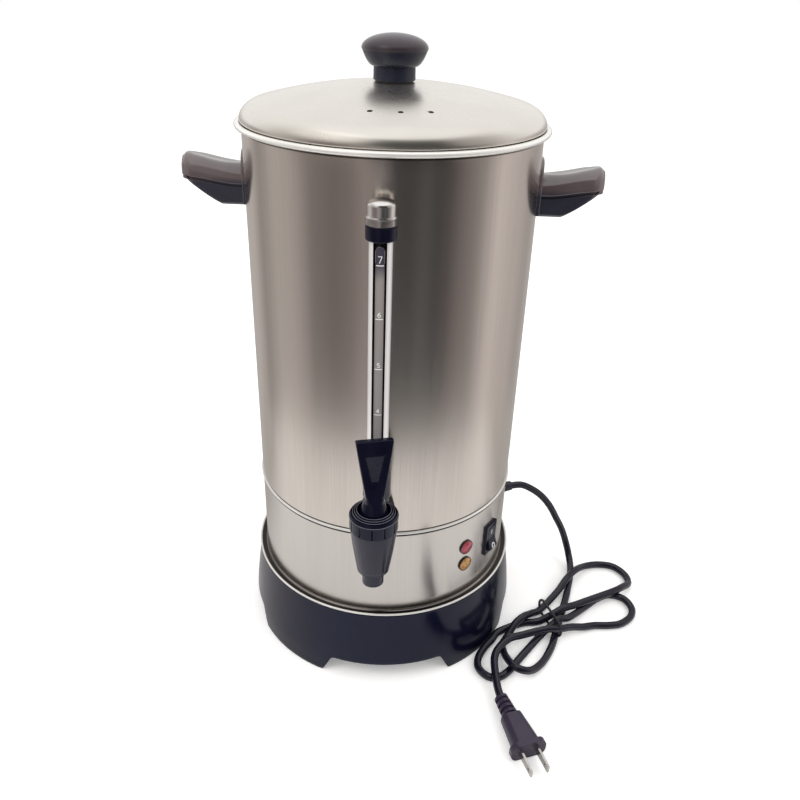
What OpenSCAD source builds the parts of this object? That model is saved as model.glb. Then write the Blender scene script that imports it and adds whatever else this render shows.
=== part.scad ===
// Coffee urn: a plug-in percolator with a self-closing tap, a sight gauge and a lift-off lid.
// All lengths are in millimetres. +Z is up, the tap faces -Y and the handles point along X.
// The tank's axis stands tank_y behind the origin, so the origin is under the middle of the urn.

/* [Tank] */
// Outer radius of the tank wall
tank_r = 100; // [85:1:120]
// Thickness of the tank and skirt sheet
tank_wall = 0.8; // [0.6:0.1:1.2]
// Height from the seam bead to the middle of the rolled rim
tank_h = 263; // [220:1:320]
// Radius of the rolled rim bead
rim_bead_r = 2.4; // [1.8:0.1:3]
// How far the seam bead stands out
seam_bead_r = 1.5; // [1:0.1:2.5]
// Height of the tank floor above the seam
floor_rise = 10.5; // [8:0.5:16]
// Thickness of the tank floor sheet
floor_t = 1; // [0.8:0.1:1.5]
// Depth of the flange that the tank floor turns down
floor_flange = 18; // [15:1:24]
// Radius of the heating well in the floor
well_r = 28; // [22:1:34]
// Depth of the heating well
well_depth = 16; // [10:1:22]

/* [Lower skirt] */
// Height of the skirt from the base to the seam
skirt_h = 74; // [66:1:90]
// Radius of the cove at the foot of the skirt
cove_r = 5.7; // [4:0.1:8]
// Radius of the rolled lip
lip_bead_r = 1.3; // [0.9:0.1:1.8]

/* [Base ring] */
// Height of the base ring
base_h = 65.5; // [56:0.5:80]
// How far the base stands out past the tank at the floor
base_out = 11; // [9:0.5:14]
// How much the base draws in from floor to top
base_flare = 6.3; // [5:0.1:8]
// Height of the upright lower band of the base
base_upright = 12; // [8:1:18]
// Wall of the base ring
base_wall = 2.2; // [1.6:0.1:3]
// Height of the gaps between the feet
gap_h = 16.3; // [10:0.1:22]
// Half width of each gap at the floor, in degrees
gap_half = 27; // [20:1:32]
// Slope of the ends of each gap, in millimetres of run
gap_slope = 6.5; // [4:0.5:10]
// Corner radius of the gaps
gap_corner = 4; // [2:0.5:6]
// Azimuth of the first gap, from the tap, in degrees
gap_az = 5; // [-10:1:10]
// Height of the shelf that the bottom plate seats on
shelf_z = 54; // [46:1:56]
// Thickness of the shelf
shelf_t = 3; // [2:0.5:4]
// Inner radius of the shelf
shelf_r = 86; // [84:1:90]
// Thickness of the bottom plate
plate_t = 1.2; // [1:0.1:2]
// Radius of the vent holes in the bottom plate
vent_hole_r = 3; // [2:0.5:4]

/* [Tie rods] */
// Radius of the tie rods
rod_r = 2; // [1.5:0.25:3]
// Radius of the circle that the tie rods stand on
rod_ring_r = 78; // [74:1:80]
// How far the tie rods reach below the bottom plate
rod_tail = 6; // [5:0.5:9]
// Thickness of the tie rod nuts
rod_nut_t = 3.2; // [2.5:0.1:4.5]

/* [Lid] */
// Radius of the lid's edge
lid_r = 101; // [100.5:0.5:102]
// Height of the lid's edge band
lid_edge_h = 5.1; // [4:0.1:7]
// Rise of the lid's dome
lid_rise = 16.3; // [10:0.1:24]
// Rounding between the edge band and the dome
lid_round = 6.5; // [4:0.5:9]
// Height gained in that rounding
lid_round_h = 1.6; // [1:0.1:2.5]
// Gap between the rolled rim and the lid
lid_gap = 0.2; // [0.2:0.05:0.5]
// Depth of the flange inside the mouth
lid_flange_h = 12; // [8:1:18]
// Clearance between that flange and the tank
lid_play = 1.4; // [0.8:0.1:2]
// Distance of the steam vents from the lid's middle
vent_ring_r = 73; // [60:1:80]
// Radius of the steam vents
vent_r = 1.65; // [1:0.05:2.5]
// Angle between the steam vents
vent_step = 14; // [8:1:20]
// Azimuth of the middle vent
vent_az = 6; // [0:1:12]

/* [Lid knob] */
// Radius of the knob's neck
neck_r = 13.5; // [11:0.5:16]
// Radius of the knob
knob_r = 21; // [18:0.5:26]
// Height of the neck
neck_h = 8.5; // [6:0.5:12]
// Height of the bowl below the knob's edge
knob_bowl_h = 10.3; // [8:0.1:14]
// Height of the knob's dome above its edge
knob_dome_h = 9; // [5:0.5:12]
// Thickness of the washer under the knob
knob_washer_t = 0.8; // [0.5:0.1:1.5]
// Radius of the knob's screw
knob_screw_r = 2; // [1.5:0.25:2.5]
// Length of screw inside the knob
knob_screw_in = 13; // [8:1:16]

/* [Handles] */
// Reach of the handles past the tank
handle_reach = 44; // [36:1:52]
// Depth of the handle's crown below the rim
handle_drop = 25; // [22:1:40]
// Radius of the arched top
handle_arch_r = 15.15; // [13:0.05:17]
// Height of the arched part
handle_arch_h = 13; // [10:0.5:14]
// Height of the wedge below the arch
handle_wedge_h = 16; // [12:0.5:20]
// How far the wedge's sides stand in from the arch
handle_inset = 1.6; // [1:0.1:3]
// Length of the wedge's flat underside
handle_flat = 15; // [10:1:20]
// Radius of the handle's outer corners
handle_corner = 10; // [6:0.5:13]
// Height of the wall flange above the crown
handle_flange_up = 6.5; // [5:0.5:9]
// Thickness of the wall flange
handle_flange_t = 2.4; // [1.8:0.1:3.5]
// Radius of the handle screws
screw_r = 2; // [1.5:0.25:2.5]
// Length of screw inside a handle
screw_in = 12; // [8:1:16]

/* [Tap] */
// Distance from the tank wall to the tap's axis
tap_reach = 39; // [38:0.5:46]
// Height of the tap's shank above the tank floor
shank_rise = 10.5; // [10.2:0.1:14]
// Radius of the threaded shank
shank_r = 6.5; // [5.5:0.1:6.6]
// Radius of the coffee passage in the shank
shank_bore_r = 4; // [3:0.1:4.5]
// Radius of the arm between shank and barrel
arm_r = 9; // [8:0.5:10]
// Thickness of the shank's flange
shank_flange_t = 3; // [2:0.5:4]
// Thickness of the outer washer at its middle
washer_t = 4.5; // [3:0.5:5]
// Radius of the barrel at its foot
barrel_bot_r = 10.8; // [9:0.1:11.5]
// Radius of the barrel at its top
barrel_top_r = 14.9; // [14.5:0.1:15.5]
// Height of the barrel below the shank's axis
barrel_down = 21; // [16:0.1:22]
// Height of the barrel above the shank's axis
barrel_up = 13.5; // [13:0.1:16]
// Radius of the valve chamber
chamber_r = 7; // [6.5:0.1:7.5]
// Depth of the valve seat below the shank's axis
seat_down = 8.5; // [7:0.1:9.5]
// Radius of the hole in the valve seat
seat_r = 4; // [3:0.1:4.5]
// Radius of the nozzle
nozzle_r = 7.25; // [6.5:0.05:8]
// Length of the nozzle
nozzle_h = 11.5; // [9:0.1:22]
// Radius of the bore in the nozzle
nozzle_bore_r = 4.5; // [3.5:0.1:5]
// Radius of the bonnet
bonnet_r = 16; // [15.5:0.1:16.4]
// Height of the bonnet's band
bonnet_h = 10; // [9.5:0.1:12]
// Depth of the bonnet's plug inside the barrel
plug_h = 4.5; // [4:0.1:6]
// Radius of the bonnet's plug
plug_r = 11.9; // [11.7:0.05:12.1]
// Thickness of the floor in the bonnet
bonnet_floor_t = 2.3; // [1.5:0.1:2.5]

/* [Tap lever] */
// Radius of the lever's ball
ball_r = 9.8; // [9.4:0.1:9.8]
// Gap between the ball and the bonnet
ball_gap = 0.4; // [0.3:0.05:0.5]
// Radius of the pivot pin and the cam pin
pin_r = 1.2; // [0.9:0.1:1.3]
// Distance of the cam pin behind the pivot
cam_y = 6.5; // [5.5:0.1:6.6]
// Half width of the slot in the ball
slot_half = 1.75; // [1.6:0.05:2]
// Height of the lever's neck above the pivot
lever_neck_h = 15.5; // [14:0.5:22]
// Width of the neck
lever_neck_w = 11.7; // [9:0.1:13]
// Height of the lever's top above the pivot
lever_top_h = 57; // [50:0.5:70]
// Width of the lever's top
lever_top_w = 24; // [16:0.1:26]
// Thickness of the lever's top
lever_top_t = 5.4; // [5.2:0.1:9]
// Edge rounding of the lever
lever_round = 2.4; // [1.5:0.1:2.5]
// Depth of the recess in the lever's face
lever_recess = 0.8; // [0.3:0.1:1.5]
// Turn of the lever's paddle about the tap's axis, in degrees
lever_turn = 14; // [-20:1:20]

/* [Tap valve] */
// Radius of the valve stem
stem_r = 1.4; // [1.2:0.05:1.5]
// Radius of the seat cup
cup_r = 6; // [5.2:0.1:6.2]
// Height of the seat cup
cup_h = 8; // [6:0.5:8.5]
// Radius of the valve spring
spring_r = 3.8; // [3.2:0.1:4.4]
// Radius of the spring wire
spring_wire = 0.5; // [0.3:0.05:0.6]
// Turns of the valve spring
spring_turns = 4; // [3:1:5]

/* [Sight gauge] */
// Distance from the tank wall to the gauge's axis
gauge_reach = 13; // [12.5:0.5:14]
// Radius of the guard tube
guard_r = 7; // [6.8:0.05:7.6]
// Wall of the guard tube
guard_wall = 0.65; // [0.4:0.05:0.8]
// Length of the guard tube
guard_h = 188; // [150:1:200]
// Width of the guard's slot
guard_slot = 8; // [4:0.1:8.4]
// Height of the slot's top below the guard's top
slot_drop = 14; // [14:0.5:24]
// Outer radius of the gauge glass
glass_r = 5.2; // [4.6:0.1:5.4]
// Wall of the gauge glass
glass_wall = 1.2; // [0.8:0.1:1.5]
// Radius of the lower socket
socket_r = 9.4; // [9:0.1:9.6]
// Length of the lower socket
socket_h = 31; // [24:1:36]
// Radius of the collar below the cap
collar_r = 9.1; // [8:0.05:9.4]
// Height of the collar
collar_h = 10.2; // [6:0.1:10.4]
// Radius of the cap's flange ring
cap_flange_r = 9.3; // [8.8:0.1:10]
// Height of the cap's flange ring
cap_flange_h = 2.2; // [1.5:0.1:3]
// Radius of the cap
cap_r = 8.4; // [7.9:0.05:8.6]
// Height of the cap's straight side
cap_side_h = 6.6; // [5:0.1:9]
// Rise of the cap's domed top
cap_dome_h = 3.8; // [2:0.1:5]
// Width of the marked strip behind the glass
strip_w = 4.6; // [3.5:0.1:5]
// Thickness of the marked strip
strip_t = 0.6; // [0.4:0.1:0.7]
// Thickness of the gauge seals
seal_t = 2; // [1.5:0.1:3]

/* [Lamps and switch] */
// Azimuth of the pilot lamps, from the tap
lamp_az = 41.5; // [36:0.5:44]
// Height of the upper lamp above the base ring
lamp_hi = 43.2; // [38:0.1:48]
// Height of the lower lamp above the base ring
lamp_lo = 27.1; // [24:0.1:30]
// Radius of the lamp bezels
bezel_r = 6.05; // [5.9:0.05:7]
// How far the bezels stand out
bezel_t = 1.1; // [1:0.1:2.5]
// Radius of the lamp lenses
lens_r = 5.3; // [4:0.1:5.5]
// Length of a lamp body behind the wall
lamp_len = 20; // [12:1:24]
// Azimuth of the switch, from the tap
switch_az = 58.7; // [57:0.1:66]
// Height of the switch above the base ring
switch_up = 36; // [32:0.5:40]
// Width of the switch frame
switch_w = 15; // [14:0.5:17]
// Height of the switch frame
switch_hh = 27; // [26:0.5:30]
// How far the switch frame stands out
switch_t = 1.9; // [1.5:0.1:3]
// Depth of the switch body behind the wall
switch_deep = 22; // [16:1:26]
// Width of the rocker
rocker_w = 10.2; // [8:0.1:11]
// Radius of the rocker's ends about its pivot
rocker_r = 10.6; // [9.5:0.1:11]
// Half of the rocker's travel, in degrees
rocker_tilt = 10; // [6:1:12]
// Radius of the rocker's trunnions
trunnion_r = 1.2; // [0.8:0.1:1.5]

/* [Pump and basket] */
// Outer radius of the pump stem
pump_r = 4; // [3.5:0.1:4.5]
// Wall of the pump stem
pump_wall = 0.8; // [0.5:0.1:1]
// Height of the stem's top below the rim
pump_drop = 12.5; // [8:0.5:20]
// Gap between the pump foot and the well
foot_gap = 2; // [1.5:0.1:3]
// Height of the pump foot's cone
foot_h = 12; // [10.5:0.5:15]
// Radius of the pump valve disc
disc_r = 8.6; // [7:0.1:9]
// Thickness of the pump valve disc
disc_t = 0.8; // [0.5:0.1:1]
// Travel of the pump valve disc
disc_travel = 2.5; // [1.5:0.1:2.7]
// Depth of the basket's floor below the rim
basket_drop = 104.5; // [95:0.5:130]
// Outer radius of the basket
basket_r = 78; // [70:1:85]
// Height of the basket
basket_h = 60; // [45:1:68]
// Thickness of the basket sheet
basket_wall = 0.8; // [0.6:0.1:1.2]
// Radius of the basket's bead
basket_bead = 1.4; // [1:0.1:2]
// Radius of the holes in basket and cover
strain_r = 1.25; // [0.8:0.05:1.6]
// Depth of the cover's lip
cover_lip = 4; // [3:0.5:6]

/* [Heaters and wiring] */
// Radius of the main heater
heater_r = 27; // [20:1:32]
// Thickness of the main heater
heater_t = 12; // [8:1:16]
// Radius of the heater stud
stud_r = 2.5; // [2:0.25:3]
// Thickness of the heater clamp
clamp_t = 3; // [2:0.5:4]
// Width of the heater clamp
clamp_w = 12; // [9:1:16]
// Thickness of the clamp nut
clamp_nut_t = 4.5; // [4:0.5:6]
// Inner radius of the warming ring
warm_in = 40; // [36:1:44]
// Outer radius of the warming ring
warm_out = 64; // [58:1:68]
// Thickness of the warming ring
warm_t = 4; // [3:0.5:6]
// Length of the heaters' terminal tabs
tab_h = 8; // [5:1:10]
// Radius of the thermostat
thermostat_r = 8; // [6:0.5:9]
// Height of the thermostat
thermostat_h = 10; // [6:0.5:14]
// Radius of the thermal fuse
fuse_r = 3; // [2:0.25:4]
// Length of the terminal block
block_l = 44; // [42:1:56]
// Width of the terminal block
block_w = 18; // [14:1:24]
// Height of the terminal block
block_h = 14; // [10:1:18]
// Radius of the inner wires
wire_r = 1.1; // [0.8:0.1:1.5]

/* [Cord and plug] */
// Diameter of the cord
cord_d = 6.2; // [5:0.1:7]
// Azimuth of the cord's bushing, from the tap
bushing_az = 112; // [108:1:118]
// Height of the bushing above the base ring
bushing_up = 18.5; // [16:0.5:24]
// Length of the bushing outside the wall
bushing_l = 20.5; // [18:0.5:24]
// Radius of the bushing's flange
bushing_r = 7.5; // [6:0.5:9]
// Length of the plug's ribbed relief
relief_l = 19; // [12:1:22]
// Length of the plug's body
plug_l = 26; // [20:1:34]
// Width of the plug's face flange
plug_w = 27; // [24:0.5:30]
// Height of the plug's face flange
plug_hh = 14.6; // [13:0.1:14.9]
// Thickness of the plug's face flange
plug_flange_t = 4; // [2:0.5:6]
// Distance between the plug's blades
blade_gap = 12.7; // [12:0.1:13]
// Length of the blades
blade_l = 17.5; // [14:0.5:19]
// Width of the blades
blade_w = 6.35; // [5:0.05:7]
// Thickness of the blades
blade_t = 1.5; // [1.2:0.1:1.8]
// Radius of the wire of the cord's tie
tie_r = 1.1; // [0.8:0.1:1.5]

/* [Hidden] */
$fn = 96;
// Clearance of pieces that fit one in another
fit = 0.1;
// Clearance of pieces that move past each other
run = 0.3;
// Clearance of pins that turn in holes
pin_fit = 0.05;
tank_y = (tap_reach + bonnet_r - base_out) / 2;
tank_in = tank_r - tank_wall;
seam_z = base_h + skirt_h;
rim_z = seam_z + tank_h;
rim_top = rim_z + rim_bead_r;
rim_mid = tank_r + rim_bead_r - 0.2;
floor_z = seam_z + floor_rise;
under_z = floor_z - floor_t;
well_z = floor_z - well_depth;
well_under = well_z - floor_t;
wall_bottom = seam_z - seam_bead_r - 0.5;
base_r = tank_r + base_out;
base_top_r = base_r - base_flare;
plate_r = shelf_r + 6;
plate_z = shelf_z - plate_t;
rod_az = [20, 140, 260];
cove_mid = tank_r + cove_r;
lip_mid = cove_mid - 0.5;
lid_z = rim_top + lid_gap;
lid_top = lid_z + lid_edge_h + lid_round_h + lid_rise;
knob_z = lid_top + knob_washer_t;
knob_edge_z = knob_z + neck_h + knob_bowl_h;
crown_z = rim_z - handle_drop;
arch_z = crown_z - handle_arch_h;
wedge_z = arch_z - handle_wedge_h;
arch_half = sqrt(pow(handle_arch_r, 2) - pow(handle_arch_r - handle_arch_h, 2));
screw_zs = [wedge_z + 8, arch_z + 6];
head_r = screw_r + 1.6;
shank_z = floor_z + shank_rise;
tap_y = -(tank_r + tap_reach);
shank_flange_y = tank_r + washer_t;
shank_end = tank_in - 11;
barrel_z = shank_z - barrel_down;
bonnet_z = shank_z + barrel_up;
seat_z = shank_z - seat_down;
plug_z = bonnet_z - plug_h;
pivot_z = plug_z + bonnet_floor_t + ball_gap + ball_r;
hole_r = ball_r + ball_gap;
cup_top = seat_z + fit + cup_h;
gauge_y = -(tank_r + gauge_reach);
socket_z = bonnet_z + 7;
guard_z = socket_z + 2;
guard_top = guard_z + guard_h;
guard_in = guard_r - guard_wall;
collar_z = guard_top - 3 - collar_h;
cap_z = collar_z + collar_h + 0.6;
glass_top = guard_top - run;
lamp_zs = [base_h + lamp_hi, base_h + lamp_lo];
switch_z = base_h + switch_up;
switch_in_w = switch_w - 2;
switch_in_h = switch_hh - 2.4;
rocker_z = -1.5;
basket_z = rim_z - basket_drop;
basket_in = basket_r - basket_wall;
stem_top = rim_z - pump_drop;
foot_z = well_z + run;
disc_z = foot_z + 2 + fit;
chamber_top = disc_z + disc_t + disc_travel + 0.5;
hub_in = pump_r + 0.35;
hub_out = hub_in + basket_wall;
cover_z = basket_z + basket_h + basket_bead + run;
heater_z = well_under - heater_t;
clamp_z = heater_z - clamp_t;
tab_x = 18;
warm_mid = (warm_in + warm_out) / 2;
bushing_z = base_h + bushing_up;
block_z = shelf_z;
plug_a = -69.5;
blade_x = relief_l + plug_l + plug_flange_t;

// The cord's route in plan and height, from the tank's axis and the floor: it drops from its
// bushing, runs forward, folds into a loose hank and ends at the plug.
cord_route = [
    [122, 48.5, 83], [132, 50, 78], [142, 51, 70], [151, 51, 59], [158, 51, 46.5], [165, 51, 33.5],
    [170, 48, 21], [173, 42, 11.5], [174, 31, 5.5], [172, 18, 3.5], [168, 3, 3.5], [164, -11, 3.5],
    [154, -41, 3.5], [149, -56, 3.5], [144, -70, 3.5], [136, -85, 3.5], [127, -96, 5.5],
    [119, -101, 9], [111, -99, 10.5], [106, -90, 9], [104, -79, 5], [104, -69, 3.5], [109, -60, 5],
    [115, -51, 9], [123, -43, 10.5], [131, -35, 7], [140, -26, 3.5], [157, -5, 5.5], [166, 7, 10],
    [176, 20, 10], [187, 32, 5.5], [201, 38, 3.5], [215, 36, 3.5], [224, 25, 3.5], [224, 12, 5],
    [216, 2, 9], [206, -6, 10.5], [181, -19, 10], [170, -25, 10], [158, -31, 10.5], [147, -37, 7.5],
    [136, -41, 3.5], [122, -44, 3.5], [102, -55, 3.5], [95, -65, 3.5], [88, -75, 3.5],
    [83, -86, 3.5], [83, -96, 3.5], [90, -104, 3.5], [99, -104, 3.5], [108, -96, 3.5],
    [118, -82, 3.5], [135, -59, 3.5], [144, -51, 7], [153, -44, 10.5], [163, -38, 7.5],
    [182, -18, 3.5], [192, -9, 3.5], [204, -3, 3.5], [216, -7, 3.5], [221, -18, 3.5],
    [218, -29, 3.5], [208, -38, 3.5], [197, -41, 3.5], [185, -42, 3.5], [174, -46, 5],
    [163, -50, 8], [153, -55, 10.5], [141, -58, 12], [130, -61, 11], [119, -65, 10.5],
    [110, -69.5, 11.5], [103, -76, 11.5], [97, -85, 10.5], [95, -96, 10], [96, -116, 8.5],
    [98, -127, 7.5]];
plug_at = cord_route[len(cord_route) - 1];
bushing_dir = [sin(bushing_az), -cos(bushing_az), 0];
cord_start = [0, 0, bushing_z] + (tank_r + bushing_l) * bushing_dir;
cord_points = concat([cord_start], cord_route);
// The tie's loop round the hank, in plan from one end to the other, with its top height.
tie_a = [139, -23];
tie_b = [153, -58];
tie_top = 16.6;

tank_shell();
tank_floor();
lower_skirt();
base_ring();
bottom_plate();
tie_rods();
tie_rod_nuts();
handle_left();
handle_right();
handle_screws();
main_heater();
warm_heater();
heater_stud();
heater_clamp();
clamp_nut();
thermostat();
thermal_fuse();
terminal_block();
wiring();
cord_bushing();
cord();
cord_tie();
plug_body();
plug_blades();
pilot_bezels();
red_lens();
amber_lens();
lamp_bodies();
switch_body();
switch_rocker();
tap_washers();
tap_nut();
tap_body();
tap_nozzle();
tap_bonnet();
lever_pin();
tap_lever();
cam_pin();
valve_stem();
seat_cup();
valve_spring();
gauge_glass();
gauge_guard();
gauge_collar();
gauge_cap();
gauge_seals();
gauge_marks();
pump_stem();
pump_foot();
pump_valve();
coffee_basket();
basket_cover();
lid_shell();
lid_knob();
knob_washer();
knob_screw();

// Puts what is drawn about the tank's axis at its place behind the origin.
module at_tank() {
    translate([0, tank_y, 0]) children();
}

// Puts a piece on the wall at an azimuth and height: its +Z points outwards and its +Y up.
module on_wall(az, z) {
    rotate([0, 0, az])
    translate([0, -tank_r, z])
    rotate([90, 0, 0])
    children();
}

// A tube about Z from one height to another.
module tube(r_in, r_out, z1, z2) {
    translate([0, 0, z1])
    difference() {
        cylinder(r = r_out, h = z2 - z1);
        translate([0, 0, -1]) cylinder(r = r_in, h = z2 - z1 + 2);
    }
}

// A hexagonal nut about Z.
module nut(r_corner, r_hole, z1, t) {
    translate([0, 0, z1])
    difference() {
        cylinder(r = r_corner, h = t, $fn = 6);
        translate([0, 0, -1]) cylinder(r = r_hole, h = t + 2);
    }
}

// A wire that runs straight from point to point.
module wire(points) {
    sweep(points, wire_r, 8, [0.3, 0.8, 0.5]);
}

// ---- Tank, skirt and base ----

// The drawn tank wall with its seam bead at the foot and its rolled rim at the mouth.
module tank_shell() {
    color("silver")
    at_tank()
    difference() {
        rotate_extrude()
            polygon(concat(
                [[tank_in, wall_bottom], [tank_in, rim_z + rim_bead_r * 0.35]],
                [for (a = [140 : -15 : -145]) [rim_mid + rim_bead_r * cos(a), rim_z + rim_bead_r * sin(a)]],
                [[tank_r, rim_z - rim_bead_r]],
                [for (a = [90 : -15 : -90]) [tank_r + seam_bead_r * cos(a), seam_z + seam_bead_r * sin(a)]],
                [[tank_r, wall_bottom]]));
        translate([0, 0, shank_z])
            rotate([90, 0, 0]) cylinder(r = shank_r + fit, h = tank_r + 10);
        for (side = [-90, 90], z = screw_zs)
            on_wall(side, z)
            translate([0, 0, -10]) cylinder(r = screw_r + fit, h = 20);
    }
}

// The pressed tank floor: a flange turned down inside the wall, and a heating well in the middle.
module tank_floor() {
    rim = tank_in - fit;
    color("lightgray")
    at_tank()
    rotate_extrude()
    polygon([[rim, floor_z - floor_flange], [rim, floor_z], [well_r, floor_z], [well_r, well_z],
        [0, well_z], [0, well_under], [well_r + floor_t, well_under],
        [well_r + floor_t, under_z], [rim - floor_t, under_z], [rim - floor_t, floor_z - floor_flange]]);
}

// The skirt below the seam: a straight wall, a cove that flares out and a rolled lip.
module lower_skirt() {
    cove_z = base_h + tank_wall + cove_r;
    color("silver")
    at_tank()
    difference() {
        rotate_extrude() {
            translate([tank_in, cove_z]) square([tank_wall, wall_bottom - cove_z]);
            intersection() {
                difference() {
                    translate([cove_mid, cove_z]) circle(cove_r + tank_wall);
                    translate([cove_mid, cove_z]) circle(cove_r);
                }
                translate([tank_in - 1, base_h - 1]) square([cove_r + tank_wall + 1, cove_z - base_h + 1]);
            }
            translate([lip_mid, base_h + lip_bead_r]) circle(lip_bead_r);
        }
        for (z = lamp_zs)
            on_wall(lamp_az, z)
            translate([0, 0, -10]) cylinder(r = lens_r + fit, h = 20);
        on_wall(switch_az, switch_z)
            translate([-switch_in_w / 2 - fit, -switch_in_h / 2 - fit, -10])
            cube([switch_in_w + 2 * fit, switch_in_h + 2 * fit, 20]);
        on_wall(bushing_az, bushing_z)
            translate([0, 0, -10]) cylinder(r = bushing_r - 1 + fit, h = 20);
    }
}

function flare_r(z) = base_r
    - base_flare * pow(max(z - base_upright, 0) / (base_h - base_upright), 1.45);
flare_zs = [for (i = [0 : 10]) base_upright + (base_h - base_upright) * i / 10];

// The outline of one gap between two feet, wide at the floor and rounded above.
module gap_outline() {
    low = base_r * sin(gap_half);
    high = low - gap_slope;
    mid = high - gap_corner * 0.82;
    polygon(concat(
        [[low, -1]],
        [for (a = [20 : 10 : 90]) [mid + gap_corner * cos(a), gap_h - gap_corner + gap_corner * sin(a)]],
        [for (a = [90 : 10 : 160]) [-mid + gap_corner * cos(a), gap_h - gap_corner + gap_corner * sin(a)]],
        [[-low, -1]]));
}

// The moulded base: a flared wall on four feet, a top flange and a shelf for the bottom plate.
module base_ring() {
    color("black")
    at_tank()
    difference() {
        rotate_extrude() {
            polygon(concat(
                [[base_r, 0]],
                [for (z = flare_zs) [flare_r(z), z]],
                [for (i = [10 : -1 : 0]) [flare_r(flare_zs[i]) - base_wall, flare_zs[i]]],
                [[base_r - base_wall, 0]]));
            translate([tank_in - 3, base_h - base_wall])
                square([base_top_r - tank_in + 2.5, base_wall]);
            translate([shelf_r, shelf_z])
                square([flare_r(shelf_z + shelf_t) - shelf_r - base_wall / 2, shelf_t]);
        }
        for (k = [0 : 3])
            rotate([90, 0, gap_az + 90 * k])
            linear_extrude(height = base_r + 5) gap_outline();
    }
}

// The sheet plate that closes the base from below, drawn up against the shelf.
module bottom_plate() {
    color("gray")
    at_tank()
    difference() {
        translate([0, 0, plate_z]) cylinder(r = plate_r, h = plate_t);
        for (az = rod_az)
            rotate([0, 0, az])
            translate([0, -rod_ring_r, plate_z - 1]) cylinder(r = rod_r + fit, h = plate_t + 2);
        for (k = [0 : 9])
            rotate([0, 0, 36 * k])
            translate([0, shelf_r * 0.6, plate_z - 1]) cylinder(r = vent_hole_r, h = plate_t + 2);
    }
}

// Three rods welded under the tank floor that pull the base and plate up.
module tie_rods() {
    color("silver")
    at_tank()
    for (az = rod_az)
        rotate([0, 0, az])
        translate([0, -rod_ring_r, plate_z - rod_tail])
        cylinder(r = rod_r, h = under_z - plate_z + rod_tail);
}

module tie_rod_nuts() {
    color("silver")
    at_tank()
    for (az = rod_az)
        rotate([0, 0, az])
        translate([0, -rod_ring_r, 0])
        nut(rod_r * 2, rod_r + pin_fit, plate_z - rod_nut_t, rod_nut_t);
}

// ---- Handles ----

// The handle's outline seen from above, grown or shrunk at its sides and its outer end.
module handle_plan(half, reach, corner) {
    translate([-half, -2]) square([2 * half, reach - corner + 2]);
    translate([-half + corner, reach - corner - 1]) square([2 * (half - corner), corner + 1]);
    for (side = [-1, 1])
        translate([side * (half - corner), reach - corner]) circle(corner);
}

// One moulded handle: an arched grip on a wedge, with a flange that hugs the wall.
module handle() {
    wedge_half = arch_half - handle_inset;
    difference() {
        union() {
            intersection() {
                translate([0, 2, crown_z - handle_arch_r])
                    rotate([90, 0, 0]) cylinder(r = handle_arch_r, h = tank_r + handle_reach + 4);
                rotate([0, 0, 180]) translate([0, tank_r - 2, arch_z]) linear_extrude(height = 40)
                    handle_plan(arch_half + 1, handle_reach + 2, handle_corner);
            }
            intersection() {
                rotate([90, 0, -90]) translate([0, 0, -wedge_half])
                    linear_extrude(height = 2 * wedge_half)
                    polygon([[tank_r - 2, wedge_z], [tank_r + handle_flat, wedge_z],
                        [tank_r + handle_reach - handle_inset, arch_z - 1.5],
                        [tank_r + handle_reach - handle_inset, arch_z], [tank_r - 2, arch_z]]);
                rotate([0, 0, 180]) translate([0, tank_r - 2, wedge_z - 1]) linear_extrude(height = 40)
                    handle_plan(wedge_half, handle_reach + 2 - handle_inset, handle_corner - handle_inset);
            }
            intersection() {
                cylinder(r = tank_r + handle_flange_t, h = crown_z + 20);
                rotate([90, 0, 0]) linear_extrude(height = tank_r + 10) {
                    translate([-arch_half - 0.5, wedge_z - 1])
                        square([2 * arch_half + 1, crown_z + handle_flange_up - arch_half - wedge_z + 1]);
                    translate([0, crown_z + handle_flange_up - arch_half]) circle(arch_half + 0.5);
                }
            }
        }
        translate([0, 0, wedge_z - 5]) cylinder(r = tank_r + pin_fit, h = 100);
        translate([-50, -tank_r + 20, wedge_z - 5]) cube([100, tank_r + 20, 100]);
        for (z = screw_zs)
            on_wall(0, z)
            translate([0, 0, -5]) cylinder(r = screw_r + pin_fit, h = screw_in + 5.5);
    }
}

module handle_left() {
    color("black") at_tank() rotate([0, 0, -90]) handle();
}

module handle_right() {
    color("black") at_tank() rotate([0, 0, 90]) handle();
}

// Four screws from inside the tank, two into each handle.
module handle_screws() {
    color("silver")
    at_tank()
    for (side = [-90, 90], z = screw_zs)
        on_wall(side, z) {
            translate([0, 0, -tank_wall - 2.1]) cylinder(r = head_r, h = 2);
            translate([0, 0, -tank_wall - 2]) cylinder(r = screw_r, h = screw_in + tank_wall + 2);
        }
}

// ---- Heaters, rods and wiring under the tank floor ----

// The clad main heater under the well, with two terminal tabs.
module main_heater() {
    color("gray")
    at_tank() {
        tube(stud_r + 0.5, heater_r, heater_z, well_under);
        for (side = [-1, 1])
            translate([side * tab_x - 3, -0.4, heater_z - tab_h]) cube([6, 0.8, tab_h + 1]);
    }
}

module warm_heater() {
    color("dimgray")
    at_tank() {
        tube(warm_in, warm_out, under_z - warm_t, under_z);
        for (side = [-1, 1])
            translate([side * warm_mid - 3, -0.4, under_z - warm_t - tab_h]) cube([6, 0.8, tab_h + 1]);
    }
}

module heater_stud() {
    color("silver")
    at_tank()
    translate([0, 0, clamp_z - clamp_nut_t - 3])
    cylinder(r = stud_r, h = well_under - clamp_z + clamp_nut_t + 3);
}

module heater_clamp() {
    color("gray")
    at_tank()
    difference() {
        translate([-clamp_w / 2, -heater_r, clamp_z]) cube([clamp_w, 2 * heater_r, clamp_t]);
        translate([0, 0, clamp_z - 1]) cylinder(r = stud_r + fit, h = clamp_t + 2);
    }
}

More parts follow.
